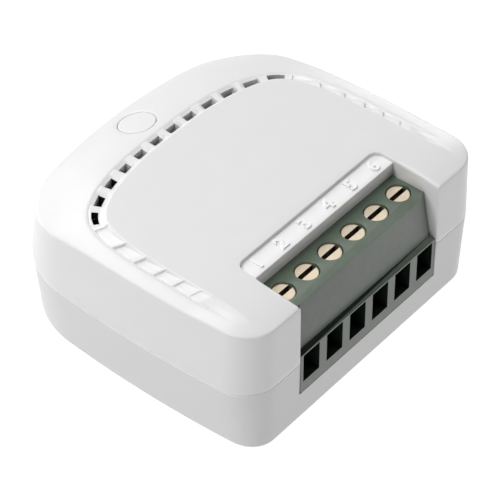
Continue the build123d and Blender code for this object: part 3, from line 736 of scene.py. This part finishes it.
def wall_depth(mid):
    """Distance inside the case's outer wall."""
    out = np.empty(len(mid))
    for lo in range(0, len(mid), 2000):
        m_ = mid[lo:lo + 2000]
        q = np.stack([np.abs(m_[:, 0]), m_[:, 1]], 1)
        i = np.hypot(q[:, None, 0] - DENSE_P[None, :, 0], q[:, None, 1] - DENSE_P[None, :, 1]).argmin(1)
        n = DENSE_N[i]
        d = -((q - DENSE_P[i]) * n).sum(1)
        d = np.where((q[:, 0] < 20.16) & (q[:, 1] < 5), q[:, 1] - FRONT, d)
        n = np.where(((q[:, 0] < 20.16) & (q[:, 1] < 5))[:, None], np.array([[0.0, -1.0]]), n)
        out[lo:lo + 2000] = d - np.array([inset(z, a, b) for z, (a, b) in zip(m_[:, 2], n)])
    return out


def keep_upper(mid, nrm):
    depth = wall_depth(mid)
    below = top_height(mid[:, 0], mid[:, 1]) - mid[:, 2]
    x, y, z = np.abs(mid[:, 0]), mid[:, 1], mid[:, 2]
    ok = (depth > 0.3) & (below > 0.95)
    ok &= ~((x < 15.3) & (y < 10.3) & (z > 19.0))
    ok &= ~((x < 15.05) & (y < 10.3))
    ok &= ~((np.abs(z - SEAM_Z) < 0.02) & (depth < 0.78))
    ok &= ~(np.hypot(x, y - BUTTON_Y) < BUTTON_HOLE_R + 0.02)
    for sx_, sy_ in SLOTS:
        ok &= ~((np.hypot(x - sx_, y - sy_) < 1.42) & (np.abs(nrm[:, 2]) < 0.5))
    return ok


upper = skin.object("upper_shell", cad_faces("upper_case", keep_upper))
shade(upper, 40, weighted=False)

# ------------------------------------------------------------ lower case half
low = Skin()
FLOOR_Z = 5.10
full = []
for p, n in zip(np.concatenate([RIGHT_P, LEFT_P]), np.concatenate([RIGHT_N, LEFT_N])):
    full.append((p[0], p[1], n[0], n[1], "wall"))
for x in np.linspace(-20.16, 20.16, 49)[1:-1]:
    full.append((float(x), FRONT, 0.0, -1.0, "wall"))
for x in (-15.0, 15.0, -15.0 - VEDGE, 15.0 + VEDGE):
    full.append((x, FRONT, 0.0, -1.0, "wall"))
n_arc = len(RIGHT_P) + len(LEFT_P)
full = full[:n_arc] + sorted(full[n_arc:], key=lambda it: it[0])
BOTTOM_R = 0.80


def bottom_profile(n=7):
    out = []
    for i in range(n + 1):
        a = math.radians(90 * i / n)
        out.append((BOTTOM_R * (1 - math.cos(a)) * 1.0, BOTTOM_R * (1 - math.sin(a))))
    return out  # (z, extra inset), from the bottom up


low_levels = [(z, e) for z, e in bottom_profile()] + [(2.4, 0), (FLOOR_Z, 0)]
cols = [[wall_point(*it, z, e) for z, e in low_levels] for it in full]
low.strips(cols, close=True)
bottom = [c[0][:2] for c in cols]
pts, tris = triangulate([bottom], [], [(x, y) for x in np.arange(-22, 23, 4.0) for y in np.arange(3, 45, 4.0)
                                       if wall_depth(np.array([[x, y, 0.0]]))[0] > 2.0], bottom, [])
ids = [low.v(p[0], p[1], 0.0) for p in pts]
for t in tris:
    low.face([ids[i] for i in t][::-1])
LOW_NOTCH_P, LOW_NOTCH_N = chain((-20.16, FRONT), 0, [(5.16 - VEDGE, 0), (VEDGE, 90), (10.15 - FRONT - VEDGE, 0)],
                                 notch_steps)
seam_low = [(SEAM_Z - 0.27, 0.0), (SEAM_Z - 0.22, 0.02), (SEAM_Z - 0.04, 0.20), (SEAM_Z - 0.015, 0.235), (SEAM_Z, 0.30),
            (SEAM_Z, 0.84)]
part_levels = [(FLOOR_Z, 0), (7.0, 0), (9.0, 0), (10.3, 0)] + seam_low
left_notch = [(p[0], p[1], n[0], n[1], "wall" if abs(n[0]) < 1e-6 else "side") for p, n in zip(LOW_NOTCH_P, LOW_NOTCH_N)]
right_notch = [(-x, y, -nx, ny, k) for x, y, nx, ny, k in left_notch[::-1]]
# put the outer front points of the lower wall on the same x positions as the full wall
front_x = [it[0] for it in full[n_arc:]]
left_notch = [(x, FRONT, 0.0, -1.0, "wall") for x in front_x if x < -15.0 - VEDGE - 1e-6] + \
    [it for it in left_notch if it[0] > -15.0 - VEDGE - 1e-6]
right_notch = [(-x, y, -nx, ny, k) for x, y, nx, ny, k in left_notch[::-1]]
around = right_notch + full[:n_arc] + left_notch
low.strips([[wall_point(*it, z, e) for z, e in part_levels] for it in around])
for sx in (-1, 1):  # little floor patches under the rounded corners
    centre = low.v(sx * 15.0, FRONT + inset(FLOOR_Z, 0, -1), FLOOR_Z)
    arc = [it for it in left_notch if it[4] == "side" and it[1] < 0.2 + VEDGE]
    arc = [(sx * -abs(it[0]) * -1 if sx > 0 else it[0], it[1], it[2], it[3], it[4]) for it in arc]
    line = [wall_point(it[0], it[1], (-it[2] if sx > 0 else it[2]), it[3], it[4], FLOOR_Z) for it in arc]
    start = wall_point(sx * (15.0 + VEDGE), FRONT, 0.0, -1.0, "wall", FLOOR_Z)
    line = [start] + line
    for a, b in zip(line, line[1:]):
        f = [centre, low.v(*a), low.v(*b)]
        low.face(f if sx > 0 else f[::-1])


def keep_lower(mid, nrm):
    depth = wall_depth(mid)
    x, y, z = np.abs(mid[:, 0]), mid[:, 1], mid[:, 2]
    ok = (depth > 0.25) & (z > 0.95)
    ok |= (np.abs(z - FLOOR_Z) < 0.02) & (nrm[:, 2] > 0.9) & (x < 15.05)
    ok &= ~((np.abs(x - 15.0) < 0.02) & (y < 10.2) & (z > FLOOR_Z) & (np.abs(nrm[:, 0]) > 0.9))
    ok &= ~((np.abs(z - SEAM_Z) < 0.02) & (depth < 0.86))
    return ok


lower = low.object("lower_shell", cad_faces("lower_case", keep_lower))
shade(lower, 40)

# ---------------------------------------------------------------- push button
cap = Skin()
cols, apex = [], []
rings = [(0.0, 0), (0.6, 0), (1.2, 0), (1.8, 0), (2.3, 0), (BUTTON_R - 0.12, 0.0), (BUTTON_R - 0.06, 0.008),
         (BUTTON_R - 0.018, 0.04), (BUTTON_R, 0.10), (BUTTON_R, 0.6), (BUTTON_R, 2.2)]
for a in np.linspace(0, 2 * math.pi, 72, endpoint=False):
    col = []
    for r, dz in rings:
        x, y = r * math.cos(a), BUTTON_Y + r * math.sin(a)
        col.append((x, y, top_height(x, y) - 0.012 - dz))
    cols.append(col)
cap.strips(cols, close=True)


def keep_cap(mid, nrm):
    r = np.hypot(mid[:, 0], mid[:, 1] - BUTTON_Y)
    return (mid[:, 2] < 18.41) | ((r < 1.85) & (mid[:, 2] < 19.05))


button = cap.object("button_disc", cad_faces("button_cap", keep_cap))
shade(button, 40)

# -------------------------------------------------------- raised digits, 1 - 6
digits = []
for i in range(6):
    cu = bpy.data.curves.new(f"digit_{i + 1}", "FONT")
    cu.body = str(i + 1)
    cu.size = 2.75 / 1000
    cu.align_x, cu.align_y = "CENTER", "CENTER"
    cu.extrude = 0.00016
    cu.bevel_depth = 0.00005
    cu.bevel_resolution = 2
    cu.offset = 0.00005
    cu.resolution_u = 8
    tmp = bpy.data.objects.new(f"digit_curve_{i + 1}", cu)
    scene.collection.objects.link(tmp)
    tmp.location = ((i - 2.5) * 5.0 / 1000, (9.32 - YC) / 1000, (STRIP_Z + 0.06) / 1000)
    bpy.context.view_layer.update()
    me = bpy.data.meshes.new_from_object(tmp.evaluated_get(bpy.context.evaluated_depsgraph_get()))
    me.transform(tmp.matrix_world)
    o = bpy.data.objects.new(f"raised_digit_{i + 1}", me)
    scene.collection.objects.link(o)
    bpy.data.objects.remove(tmp)
    bpy.data.curves.remove(cu)
    digits.append(o)
    shade(o, 50, weighted=False)

# ------------------------------------------------------------ terminal screws
screws = []
SCREW_Y, SCREW_TOP, SLOT_HW, SLOT_D = 4.95, 19.30, 0.33, 0.80
for i in range(6):
    sc = Skin()
    cx = (i - 2.5) * 5.0
    R = 1.65
    for side in (-1, 1):
        # outline of one half of the head, from one slot end round to the other
        a0 = math.asin(SLOT_HW / R)
        arc = np.linspace(a0, math.pi - a0, 37)
        rim_ = [(R * math.cos(a), side * R * math.sin(a)) for a in arc]
        levels = [(1.0, 17.62), (1.0, SCREW_TOP - 0.16), (0.985, SCREW_TOP - 0.07), (0.955, SCREW_TOP - 0.02),
                  (0.91, SCREW_TOP)]
        outer = [[(cx + x * k, SCREW_Y + side * SLOT_HW + (y - side * SLOT_HW) * k, z) for k, z in levels] for x, y in rim_]
        sc.strips(outer, flip=side > 0)
        # top face with a fine rounded edge along the slot
        line = [(x * 0.91, side * SLOT_HW + (y - side * SLOT_HW) * 0.91) for x, y in rim_]
        top = [sc.v(cx + x, SCREW_Y + y, SCREW_TOP) for x, y in line]
        soft = 0.035
        top_line = [(line[0][0], side * (SLOT_HW + soft)), (line[-1][0], side * (SLOT_HW + soft))]
        body = [sc.v(cx + top_line[0][0], SCREW_Y + top_line[0][1], SCREW_TOP)] + top[1:-1] + \
            [sc.v(cx + top_line[1][0], SCREW_Y + top_line[1][1], SCREW_TOP)]
        sc.face(body if side > 0 else body[::-1])
        x0, x1 = line[0][0], line[-1][0]
        edge = [[(cx + x, SCREW_Y + side * (SLOT_HW + soft), SCREW_TOP), (cx + x, SCREW_Y + side * (SLOT_HW + 0.01), SCREW_TOP - 0.012),
                 (cx + x, SCREW_Y + side * SLOT_HW, SCREW_TOP - soft), (cx + x * 1.05, SCREW_Y + side * SLOT_HW, SCREW_TOP - 0.15),
                 (cx + x * 1.075, SCREW_Y + side * SLOT_HW, SCREW_TOP - SLOT_D)] for x in (x0, x0 / 2, 0, x1 / 2, x1)]
        sc.strips(edge, flip=side > 0)
        # end walls of the half head below the slot's floor line
        sc.strips([[(cx + sgn * 1.617, SCREW_Y + side * SLOT_HW, SCREW_TOP - 0.15),
                    (cx + sgn * 1.617, SCREW_Y + side * SLOT_HW, SCREW_TOP - SLOT_D)] for sgn in (1, -1)][:1] * 2)
    # slot floor
    xs_ = np.linspace(-1.617, 1.617, 9)
    sc.strips([[(cx + x, SCREW_Y - SLOT_HW, SCREW_TOP - SLOT_D), (cx + x, SCREW_Y, SCREW_TOP - SLOT_D - 0.02),
                (cx + x, SCREW_Y + SLOT_HW, SCREW_TOP - SLOT_D)] for x in xs_], flip=True)
    # rim between the slot's two ends, below the slot
    for sgn in (-1, 1):
        ang = np.linspace(-a0, a0, 5)
        sc.strips([[(cx + sgn * R * math.cos(a), SCREW_Y + R * math.sin(a), 17.62),
                    (cx + sgn * R * math.cos(a), SCREW_Y + R * math.sin(a), SCREW_TOP - SLOT_D)] for a in ang], flip=sgn < 0)
        sc.strips([[(cx + sgn * R * math.cos(a), SCREW_Y + R * math.sin(a), SCREW_TOP - SLOT_D),
                    (cx + sgn * 1.617, SCREW_Y + R * math.sin(a), SCREW_TOP - SLOT_D)] for a in ang], flip=sgn < 0)
    # underside of the head, shank with a fine thread, end
    prof = [(R, 17.62), (1.25, 17.62)]
    z = 17.3
    prof.append((1.25, 17.35))
    while z > 12.2:
        prof += [(1.25, z), (1.08, z - 0.25)]
        z -= 0.5
    prof += [(1.2, 12.05), (0.95, 11.85), (0.0, 11.85)]
    sc.strips([[(cx + r * math.cos(a), SCREW_Y + r * math.sin(a), zz) for r, zz in prof]
               for a in np.linspace(0, 2 * math.pi, 36, endpoint=False)], close=True)
    o = sc.object(f"slotted_screw_{i + 1}")
    shade(o, 32)
    screws.append(o)

# ------------------------------------------------------------------ materials
def material(name, color, rough, metallic=0.0, specular=0.5, coat=0.0, coat_rough=0.1, sheen=0.0,
             vary=0.04, vary_scale=900.0, rough_vary=0.06, rough_scale=2600.0, bump=0.05, bump_scale=9000.0,
             bump_distance=0.00002, hue=None, stretch=None, subsurface=0.0):
    """A surface with slight colour and gloss variation and a fine moulded or ground texture."""
    m = bpy.data.materials.new(name)
    m.use_nodes = True
    nt = m.node_tree
    bsdf = nt.nodes["Principled BSDF"]
    bsdf.inputs["Metallic"].default_value = metallic
    bsdf.inputs["Specular IOR Level"].default_value = specular
    bsdf.inputs["Coat Weight"].default_value = coat
    bsdf.inputs["Coat Roughness"].default_value = coat_rough
    bsdf.inputs["Subsurface Weight"].default_value = subsurface
    if subsurface:
        bsdf.inputs["Subsurface Radius"].default_value = (1.0, 0.95, 0.9)
        bsdf.inputs["Subsurface Scale"].default_value = 0.0006
    tex = nt.nodes.new("ShaderNodeTexCoord")
    mapping = nt.nodes.new("ShaderNodeMapping")
    nt.links.new(tex.outputs["Object"], mapping.inputs["Vector"])
    if stretch:
        mapping.inputs["Scale"].default_value = stretch
    n1 = nt.nodes.new("ShaderNodeTexNoise")
    n1.inputs["Scale"].default_value = vary_scale
    n1.inputs["Detail"].default_value = 3.0
    nt.links.new(mapping.outputs["Vector"], n1.inputs["Vector"])
    ramp = nt.nodes.new("ShaderNodeValToRGB")
    dark = [max(0.0, c * (1 - vary)) for c in color]
    light = [min(1.0, c * (1 + vary)) for c in (hue or color)]
    ramp.color_ramp.elements[0].position = 0.35
    ramp.color_ramp.elements[0].color = (*dark, 1)
    ramp.color_ramp.elements[1].position = 0.65
    ramp.color_ramp.elements[1].color = (*light, 1)
    nt.links.new(n1.outputs["Fac"], ramp.inputs["Fac"])
    nt.links.new(ramp.outputs["Color"], bsdf.inputs["Base Color"])
    n2 = nt.nodes.new("ShaderNodeTexNoise")
    n2.inputs["Scale"].default_value = rough_scale
    n2.inputs["Detail"].default_value = 2.0
    nt.links.new(mapping.outputs["Vector"], n2.inputs["Vector"])
    mr = nt.nodes.new("ShaderNodeMapRange")
    mr.inputs["To Min"].default_value = max(0.02, rough - rough_vary)
    mr.inputs["To Max"].default_value = min(1.0, rough + rough_vary)
    nt.links.new(n2.outputs["Fac"], mr.inputs["Value"])
    nt.links.new(mr.outputs["Result"], bsdf.inputs["Roughness"])
    n3 = nt.nodes.new("ShaderNodeTexNoise")
    n3.inputs["Scale"].default_value = bump_scale
    n3.inputs["Detail"].default_value = 2.0
    nt.links.new(mapping.outputs["Vector"], n3.inputs["Vector"])
    b = nt.nodes.new("ShaderNodeBump")
    b.inputs["Strength"].default_value = bump
    b.inputs["Distance"].default_value = bump_distance
    nt.links.new(n3.outputs["Fac"], b.inputs["Height"])
    nt.links.new(b.outputs["Normal"], bsdf.inputs["Normal"])
    return m


MAT = {
    "white_case": material("white_case_plastic", (0.71, 0.71, 0.71), 0.34, vary=0.006, vary_scale=260, rough_vary=0.04,
                           bump=0.06, bump_scale=5200, specular=0.5),
    # painted shade: a darker copy of the case white for the lower shell
    "white_case_painted_shade_lower": material("painted_shade_lower_case_plastic", (0.635, 0.635, 0.635), 0.36, vary=0.006, vary_scale=260,
                                 rough_vary=0.04, bump=0.06, bump_scale=5200, specular=0.5),
    # the white of the raised digits and the marking strip's floor, also put on the lower shell's seam chamfer as a
    # painted highlight
    "marking_white_and_painted_highlight": material("marking_and_seam_highlight_plastic", (0.86, 0.86, 0.86), 0.34, vary=0.006, vary_scale=260,
                              rough_vary=0.04, bump=0.05, bump_scale=5200, specular=0.5),
    # painted highlight: a lighter copy of the case white for the side channels and their pockets
    "side_channel_painted_light": material("side_channel_painted_light_plastic", (0.785, 0.785, 0.785), 0.34, vary=0.006, vary_scale=260,
                              rough_vary=0.04, bump=0.05, bump_scale=5200, specular=0.5),
    # painted shade: a darker copy of the case white for the walls of the slot wells
    "well_painted_shade": material("well_painted_shade_plastic", (0.58, 0.58, 0.58), 0.6, vary=0.03, vary_scale=500, bump=0.08,
                           bump_scale=5200, specular=0.3),
    "deep_shadow": material("unlit_plastic", (0.012, 0.012, 0.012), 0.8, vary=0.2, specular=0.1),
    # painted shadow: near-black green for the inside of the wire entries
    "entry_painted_shadow": material("entry_painted_shadow_plastic", (0.006, 0.012, 0.009), 0.55, vary=0.3, specular=0.25),
    "terminal_green": material("terminal_green_plastic", (0.088, 0.120, 0.086), 0.46, vary=0.05, vary_scale=700,
                               rough_vary=0.05, bump=0.10, bump_scale=6500, specular=0.85),
    # painted light: a lighter grey-green for the block's front-facing faces, with the same gloss as the green
    "terminal_front_painted_light": material("terminal_green_painted_light_front", (0.128, 0.145, 0.124), 0.46, vary=0.05, vary_scale=700,
                              rough_vary=0.05, bump=0.10, bump_scale=6500, specular=0.85),
    # painted shade: near-black brass for the walls and floor of the screw slots
    "slot_painted_shade": material("slot_painted_shade_brass", (0.05, 0.032, 0.018), 0.55, metallic=0.4, vary=0.2, vary_scale=1800, specular=0.3),
    "screw_brass": material("pale_brass_plate", (0.93, 0.79, 0.60), 0.42, metallic=0.55, vary=0.05, vary_scale=1500,
                            rough_vary=0.08, bump=0.12, bump_scale=4200, stretch=(1, 6, 1)),
    "plated_steel": material("bright_zinc_plate", (0.66, 0.67, 0.70), 0.30, metallic=1.0, vary=0.06, vary_scale=1200,
                             bump=0.10, bump_scale=4200),
    "tinned_copper": material("tinned_copper_strip", (0.70, 0.70, 0.69), 0.35, metallic=1.0, vary=0.06, bump=0.08),
    "board": material("solder_mask_green", (0.03, 0.16, 0.07), 0.30, vary=0.18, vary_scale=500, bump=0.18,
                      bump_scale=1600, coat=0.3),
    "black_plastic": material("black_moulding", (0.022, 0.022, 0.024), 0.45, vary=0.15, bump=0.12),
    "spring_metal": material("spring_bronze", (0.72, 0.52, 0.30), 0.30, metallic=1.0, vary=0.07, bump=0.06,
                             stretch=(1, 8, 1)),
    "relay_shell": material("relay_cover_plastic", (0.030, 0.032, 0.036), 0.30, vary=0.15, bump=0.08),
    "bobbin_plastic": material("bobbin_moulding", (0.70, 0.66, 0.56), 0.5, vary=0.05, bump=0.08),
    "copper_wire": material("enamelled_copper", (0.62, 0.24, 0.10), 0.25, metallic=0.85, vary=0.15, bump=0.5,
                            bump_scale=2600, stretch=(0.2, 0.2, 6)),
    "soft_iron": material("plated_soft_iron", (0.50, 0.50, 0.51), 0.38, metallic=1.0, vary=0.07, bump=0.1),
    "ferrite": material("sintered_ferrite", (0.055, 0.055, 0.06), 0.62, vary=0.2, bump=0.35, bump_scale=3200),
    "capacitor_sleeve": material("shrink_sleeve", (0.02, 0.025, 0.06), 0.28, vary=0.1, bump=0.05),
    "varistor_coat": material("blue_epoxy_coat", (0.02, 0.08, 0.34), 0.28, vary=0.12, bump=0.3, bump_scale=1300),
    "resistor_coat": material("cement_coat", (0.14, 0.22, 0.14), 0.7, vary=0.12, bump=0.4, bump_scale=2600),
}
record = frame["record"]
slot_of = {s["node"]: s["material_slot"] for s in record["subparts"]}
for name, o in nodes.items():
    o.data.materials.clear()
    o.data.materials.append(MAT[slot_of[name]])


def bevelled(name, width, segments=2, angle=35, dissolve=True):
    o = nodes[name]
    o.data.polygons.foreach_set("use_smooth", [True] * len(o.data.polygons))
    o.data.set_sharp_from_angle(angle=math.radians(30))
    if dissolve:
        d = o.modifiers.new("planar", "DECIMATE")
        d.decimate_type = "DISSOLVE"
        d.angle_limit = math.radians(0.8)
    b = o.modifiers.new("edge", "BEVEL")
    b.width = width / 1000
    b.segments = segments
    b.limit_method = "ANGLE"
    b.angle_limit = math.radians(angle)
    b.harden_normals = True
    b.use_clamp_overlap = True
    return o


# the terminal housing, with the corners of its sloping face cut back at both ends
hm = nodes["terminal_housing"].data.copy()
hm.name = "block_housing"
housing = bpy.data.objects.new("block_housing", hm)
scene.collection.objects.link(housing)


def wedge(sx):
    """The corner that is cut off one end of the block, as a closed solid."""
    bm = bmesh.new()
    bmesh.ops.create_cube(bm, size=1.0)
    lo, hi = Vector((12.0, -1.0, 12.45)), Vector((16.0, 4.0, 20.5))
    for v in bm.verts:
        v.co = Vector([lo[i] + (v.co[i] + 0.5) * (hi[i] - lo[i]) for i in range(3)])
    a, b, c = Vector((13.15, 1.65, 19.55)), Vector((14.85, 2.35, 19.55)), Vector((14.38, 0.86, 12.45))
    n = (b - a).cross(c - a).normalized()
    if n.x < 0:
        n = -n
    cut = bmesh.ops.bisect_plane(bm, geom=bm.verts[:] + bm.edges[:] + bm.faces[:], plane_co=a, plane_no=n,
                                 clear_inner=True)
    bmesh.ops.contextual_create(bm, geom=[g for g in cut["geom_cut"] if isinstance(g, bmesh.types.BMEdge)])
    for v in bm.verts:
        v.co = Vector((sx * v.co.x, v.co.y - YC, v.co.z)) / 1000
    bmesh.ops.recalc_face_normals(bm, faces=bm.faces[:])
    me = bpy.data.meshes.new("wedge")
    bm.to_mesh(me)
    bm.free()
    o = bpy.data.objects.new("wedge", me)
    scene.collection.objects.link(o)
    return o


def corner_prism(sx):
    """The small lower corner cut from the block's front."""
    x0, x1, z0, z1 = 14.55, 15.2, 5.0, 5.55
    pts = [(x0, 5.24), (x0, z0), (x1, z0), (x1, z1), (14.86, z1)]
    bm = bmesh.new()
    rows_ = []
    for y in (-0.5, 0.9):
        rows_.append([bm.verts.new(Vector((sx * x, y - YC, z)) / 1000) for x, z in pts])
    bm.faces.new(rows_[0])
    bm.faces.new(rows_[1][::-1])
    for i in range(len(pts)):
        j = (i + 1) % len(pts)
        bm.faces.new([rows_[0][i], rows_[1][i], rows_[1][j], rows_[0][j]])
    bmesh.ops.recalc_face_normals(bm, faces=bm.faces[:])
    me = bpy.data.meshes.new("prism")
    bm.to_mesh(me)
    bm.free()
    o = bpy.data.objects.new("prism", me)
    scene.collection.objects.link(o)
    return o


cutters = [wedge(1), wedge(-1), corner_prism(1), corner_prism(-1)]
for c in cutters:
    m = housing.modifiers.new("cut", "BOOLEAN")
    m.operation = "DIFFERENCE"
    m.solver = "EXACT"
    m.object = c
bpy.context.view_layer.update()
made = bpy.data.meshes.new_from_object(housing.evaluated_get(bpy.context.evaluated_depsgraph_get()))
housing.modifiers.clear()
housing.data = made
for c in cutters:
    bpy.data.objects.remove(c)
made.materials.clear()
made.materials.append(MAT["terminal_green"])
made.materials.append(MAT["entry_painted_shadow"])
made.materials.append(MAT["terminal_front_painted_light"])
# faces inside the wire entries take near-black painted shadow
for p in made.polygons:
    x, y, z = p.center.x * 1000, p.center.y * 1000 + YC, p.center.z * 1000
    near = min(abs(x - (i - 2.5) * 5.0) for i in range(6))
    # front-facing faces take the lighter grey-green, painted light
    p.material_index = 1 if (near < 2.15 and 0.02 < y < 9.0 and 5.9 < z < 17.0) else 2 if p.normal.y < -0.6 else 0
made.polygons.foreach_set("use_smooth", [True] * len(made.polygons))
made.set_sharp_from_angle(angle=math.radians(30))
d = housing.modifiers.new("planar", "DECIMATE")
d.decimate_type = "DISSOLVE"
d.angle_limit = math.radians(0.8)
d.delimit = {"MATERIAL", "SHARP"}
b = housing.modifiers.new("edge", "BEVEL")
b.width = 0.07 / 1000
b.segments = 3
b.limit_method = "ANGLE"
b.angle_limit = math.radians(28)
b.harden_normals = True
b.use_clamp_overlap = True
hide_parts("terminal_housing")
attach(housing, "case")
for n in [f"clamp_cage_{i}" for i in range(1, 7)] + ["switch_cover", "switch_base", "radio_shield", "bridge_rectifier",
                                                   "converter_chip", "regulator_chip", "relay_1_cover", "relay_2_cover"]:
    bevelled(n, 0.08, 2)

for o, node_name, slot, body in [(upper, "upper_case", "white_case", "case"), (lower, "lower_case", "white_case", "case"),
                                 (button, "button_cap", "white_case", "button")]:
    # the lower shell takes the darker copy of the case white, as painted shade
    o.data.materials.append(MAT["white_case_painted_shade_lower" if o is lower else slot])
    if o is lower:
        o.data.materials.append(MAT["marking_white_and_painted_highlight"])
        # the seam chamfer's upward faces take the lighter marking white: a painted highlight along the seam
        for p in o.data.polygons:
            if p.index < len(low.faces) and SEAM_Z - 0.26 < p.center.z * 1000 < SEAM_Z - 0.01 and p.normal.z > 0.2:
                p.material_index = 1
    if o is upper:
        o.data.materials.append(MAT["well_painted_shade"])
        o.data.materials.append(MAT["deep_shadow"])
        o.data.materials.append(MAT["marking_white_and_painted_highlight"])
        o.data.materials.append(MAT["side_channel_painted_light"])
    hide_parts(node_name)
    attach(o, body)
for i, o in enumerate(screws):
    o.data.materials.append(MAT["screw_brass"])
    o.data.materials.append(MAT["slot_painted_shade"])
    # the slot's walls and floor take the near-black brass: painted shade in the slot
    for p in o.data.polygons:
        c = p.center * 1000
        if SCREW_TOP - SLOT_D - 0.1 < c.z < SCREW_TOP - 0.003 and abs(c.y + YC - SCREW_Y) < SLOT_HW + 0.03 \
                and abs(c.x - (i - 2.5) * 5.0) < 1.61:
            p.material_index = 1
    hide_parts(f"terminal_screw_{i + 1}")
    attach(o, f"screw_{i + 1}")
for o in digits:
    o.data.materials.append(MAT["marking_white_and_painted_highlight"])
    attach(o, "case")

# ---------------------------------------------------------------------- floor
fm = bpy.data.meshes.new("floor")
S = 0.9
fm.from_pydata([(-S, -S, 0), (S, -S, 0), (S, S, 0), (-S, S, 0)], [], [(0, 1, 2, 3)])
floor = bpy.data.objects.new("floor", fm)
scene.collection.objects.link(floor)
fmat = bpy.data.materials.new("pale_floor")
fmat.use_nodes = True
fb = fmat.node_tree.nodes["Principled BSDF"]
fb.inputs["Base Color"].default_value = (0.12, 0.12, 0.12, 1)
fb.inputs["Roughness"].default_value = 0.9
fb.inputs["Specular IOR Level"].default_value = 0.1
fb.inputs["Emission Color"].default_value = (1, 1, 1, 1)
fb.inputs["Emission Strength"].default_value = 0.96
fm.materials.append(fmat)

# ------------------------------------------------------------------- lighting
world = bpy.data.worlds.new("studio")
scene.world = world
world.use_nodes = True
bg = world.node_tree.nodes["Background"]
bg.inputs["Color"].default_value = (1, 1, 1, 1)
bg.inputs["Strength"].default_value = 0.0


def area(name, direction, distance, size, power, color=(1, 1, 1)):
    light = bpy.data.lights.new(name, "AREA")
    light.shape = "DISK"
    light.size = size
    light.energy = power
    light.color = color
    o = bpy.data.objects.new(name, light)
    scene.collection.objects.link(o)
    d = Vector(direction).normalized()
    o.location = d * distance + Vector((0, 0, 0.011))
    o.rotation_euler = d.to_track_quat("Z", "Y").to_euler()
    return o


def polar(name, az, elev, size, power, color=(1, 1, 1)):
    a, e = math.radians(az), math.radians(elev)
    return area(name, (math.cos(e) * math.cos(a), math.cos(e) * math.sin(a), math.sin(e)), 0.6, size, power, color)


polar("rear_low", 90, 10, 0.34, 1.47)
polar("front_right", 315, 35, 0.34, 0.76)
polar("left_high", 180, 62, 0.34, 1.14)
polar("right_rear_low", 25, 22, 0.16, 0.46)
polar("rear_sheen_low", 65, 22, 0.16, 0.17)
polar("rear_sheen", 65, 40, 0.16, 0.46)
polar("band_sheen", 65, 56, 0.16, 0.57)
polar("key_rear", 120, 70, 0.16, 0.63)
polar("left_rear", 160, 45, 0.16, 0.94)
polar("left_low", 172, 28, 0.16, 0.24)

# --------------------------------------------------------------------- camera
th, el, roll = math.radians(-50.4986), math.radians(43.2077), math.radians(-0.064)
F_PX, DIST, U0, V0 = 2764.92, 382.383, 299.7275, 283.1007
target = Vector((0, 12 - YC, 7.4))
back = Vector((math.sin(th) * math.cos(el), -math.cos(th) * math.cos(el), math.sin(el)))
right = Vector((math.cos(th), math.sin(th), 0))
up = back.cross(right)
r_axis = math.cos(roll) * right + math.sin(roll) * up
u_axis = -math.sin(roll) * right + math.cos(roll) * up
pos = target - (U0 - 249.5) * DIST / F_PX * r_axis + (V0 - 250) * DIST / F_PX * u_axis + DIST * back
cam_data = bpy.data.cameras.new("camera")
cam_data.sensor_width = 36.0
cam_data.lens = F_PX * 36.0 / 500
cam_data.clip_start = 0.01
cam_data.clip_end = 10
cam = bpy.data.objects.new("camera", cam_data)
scene.collection.objects.link(cam)
cam.matrix_world = Matrix((
    (r_axis.x, u_axis.x, back.x, pos.x / 1000),
    (r_axis.y, u_axis.y, back.y, pos.y / 1000),
    (r_axis.z, u_axis.z, back.z, pos.z / 1000),
    (0, 0, 0, 1)))
scene.camera = cam
scene.view_settings.view_transform = "Standard"
scene.view_settings.look = "None"

bpy.context.view_layer.update()
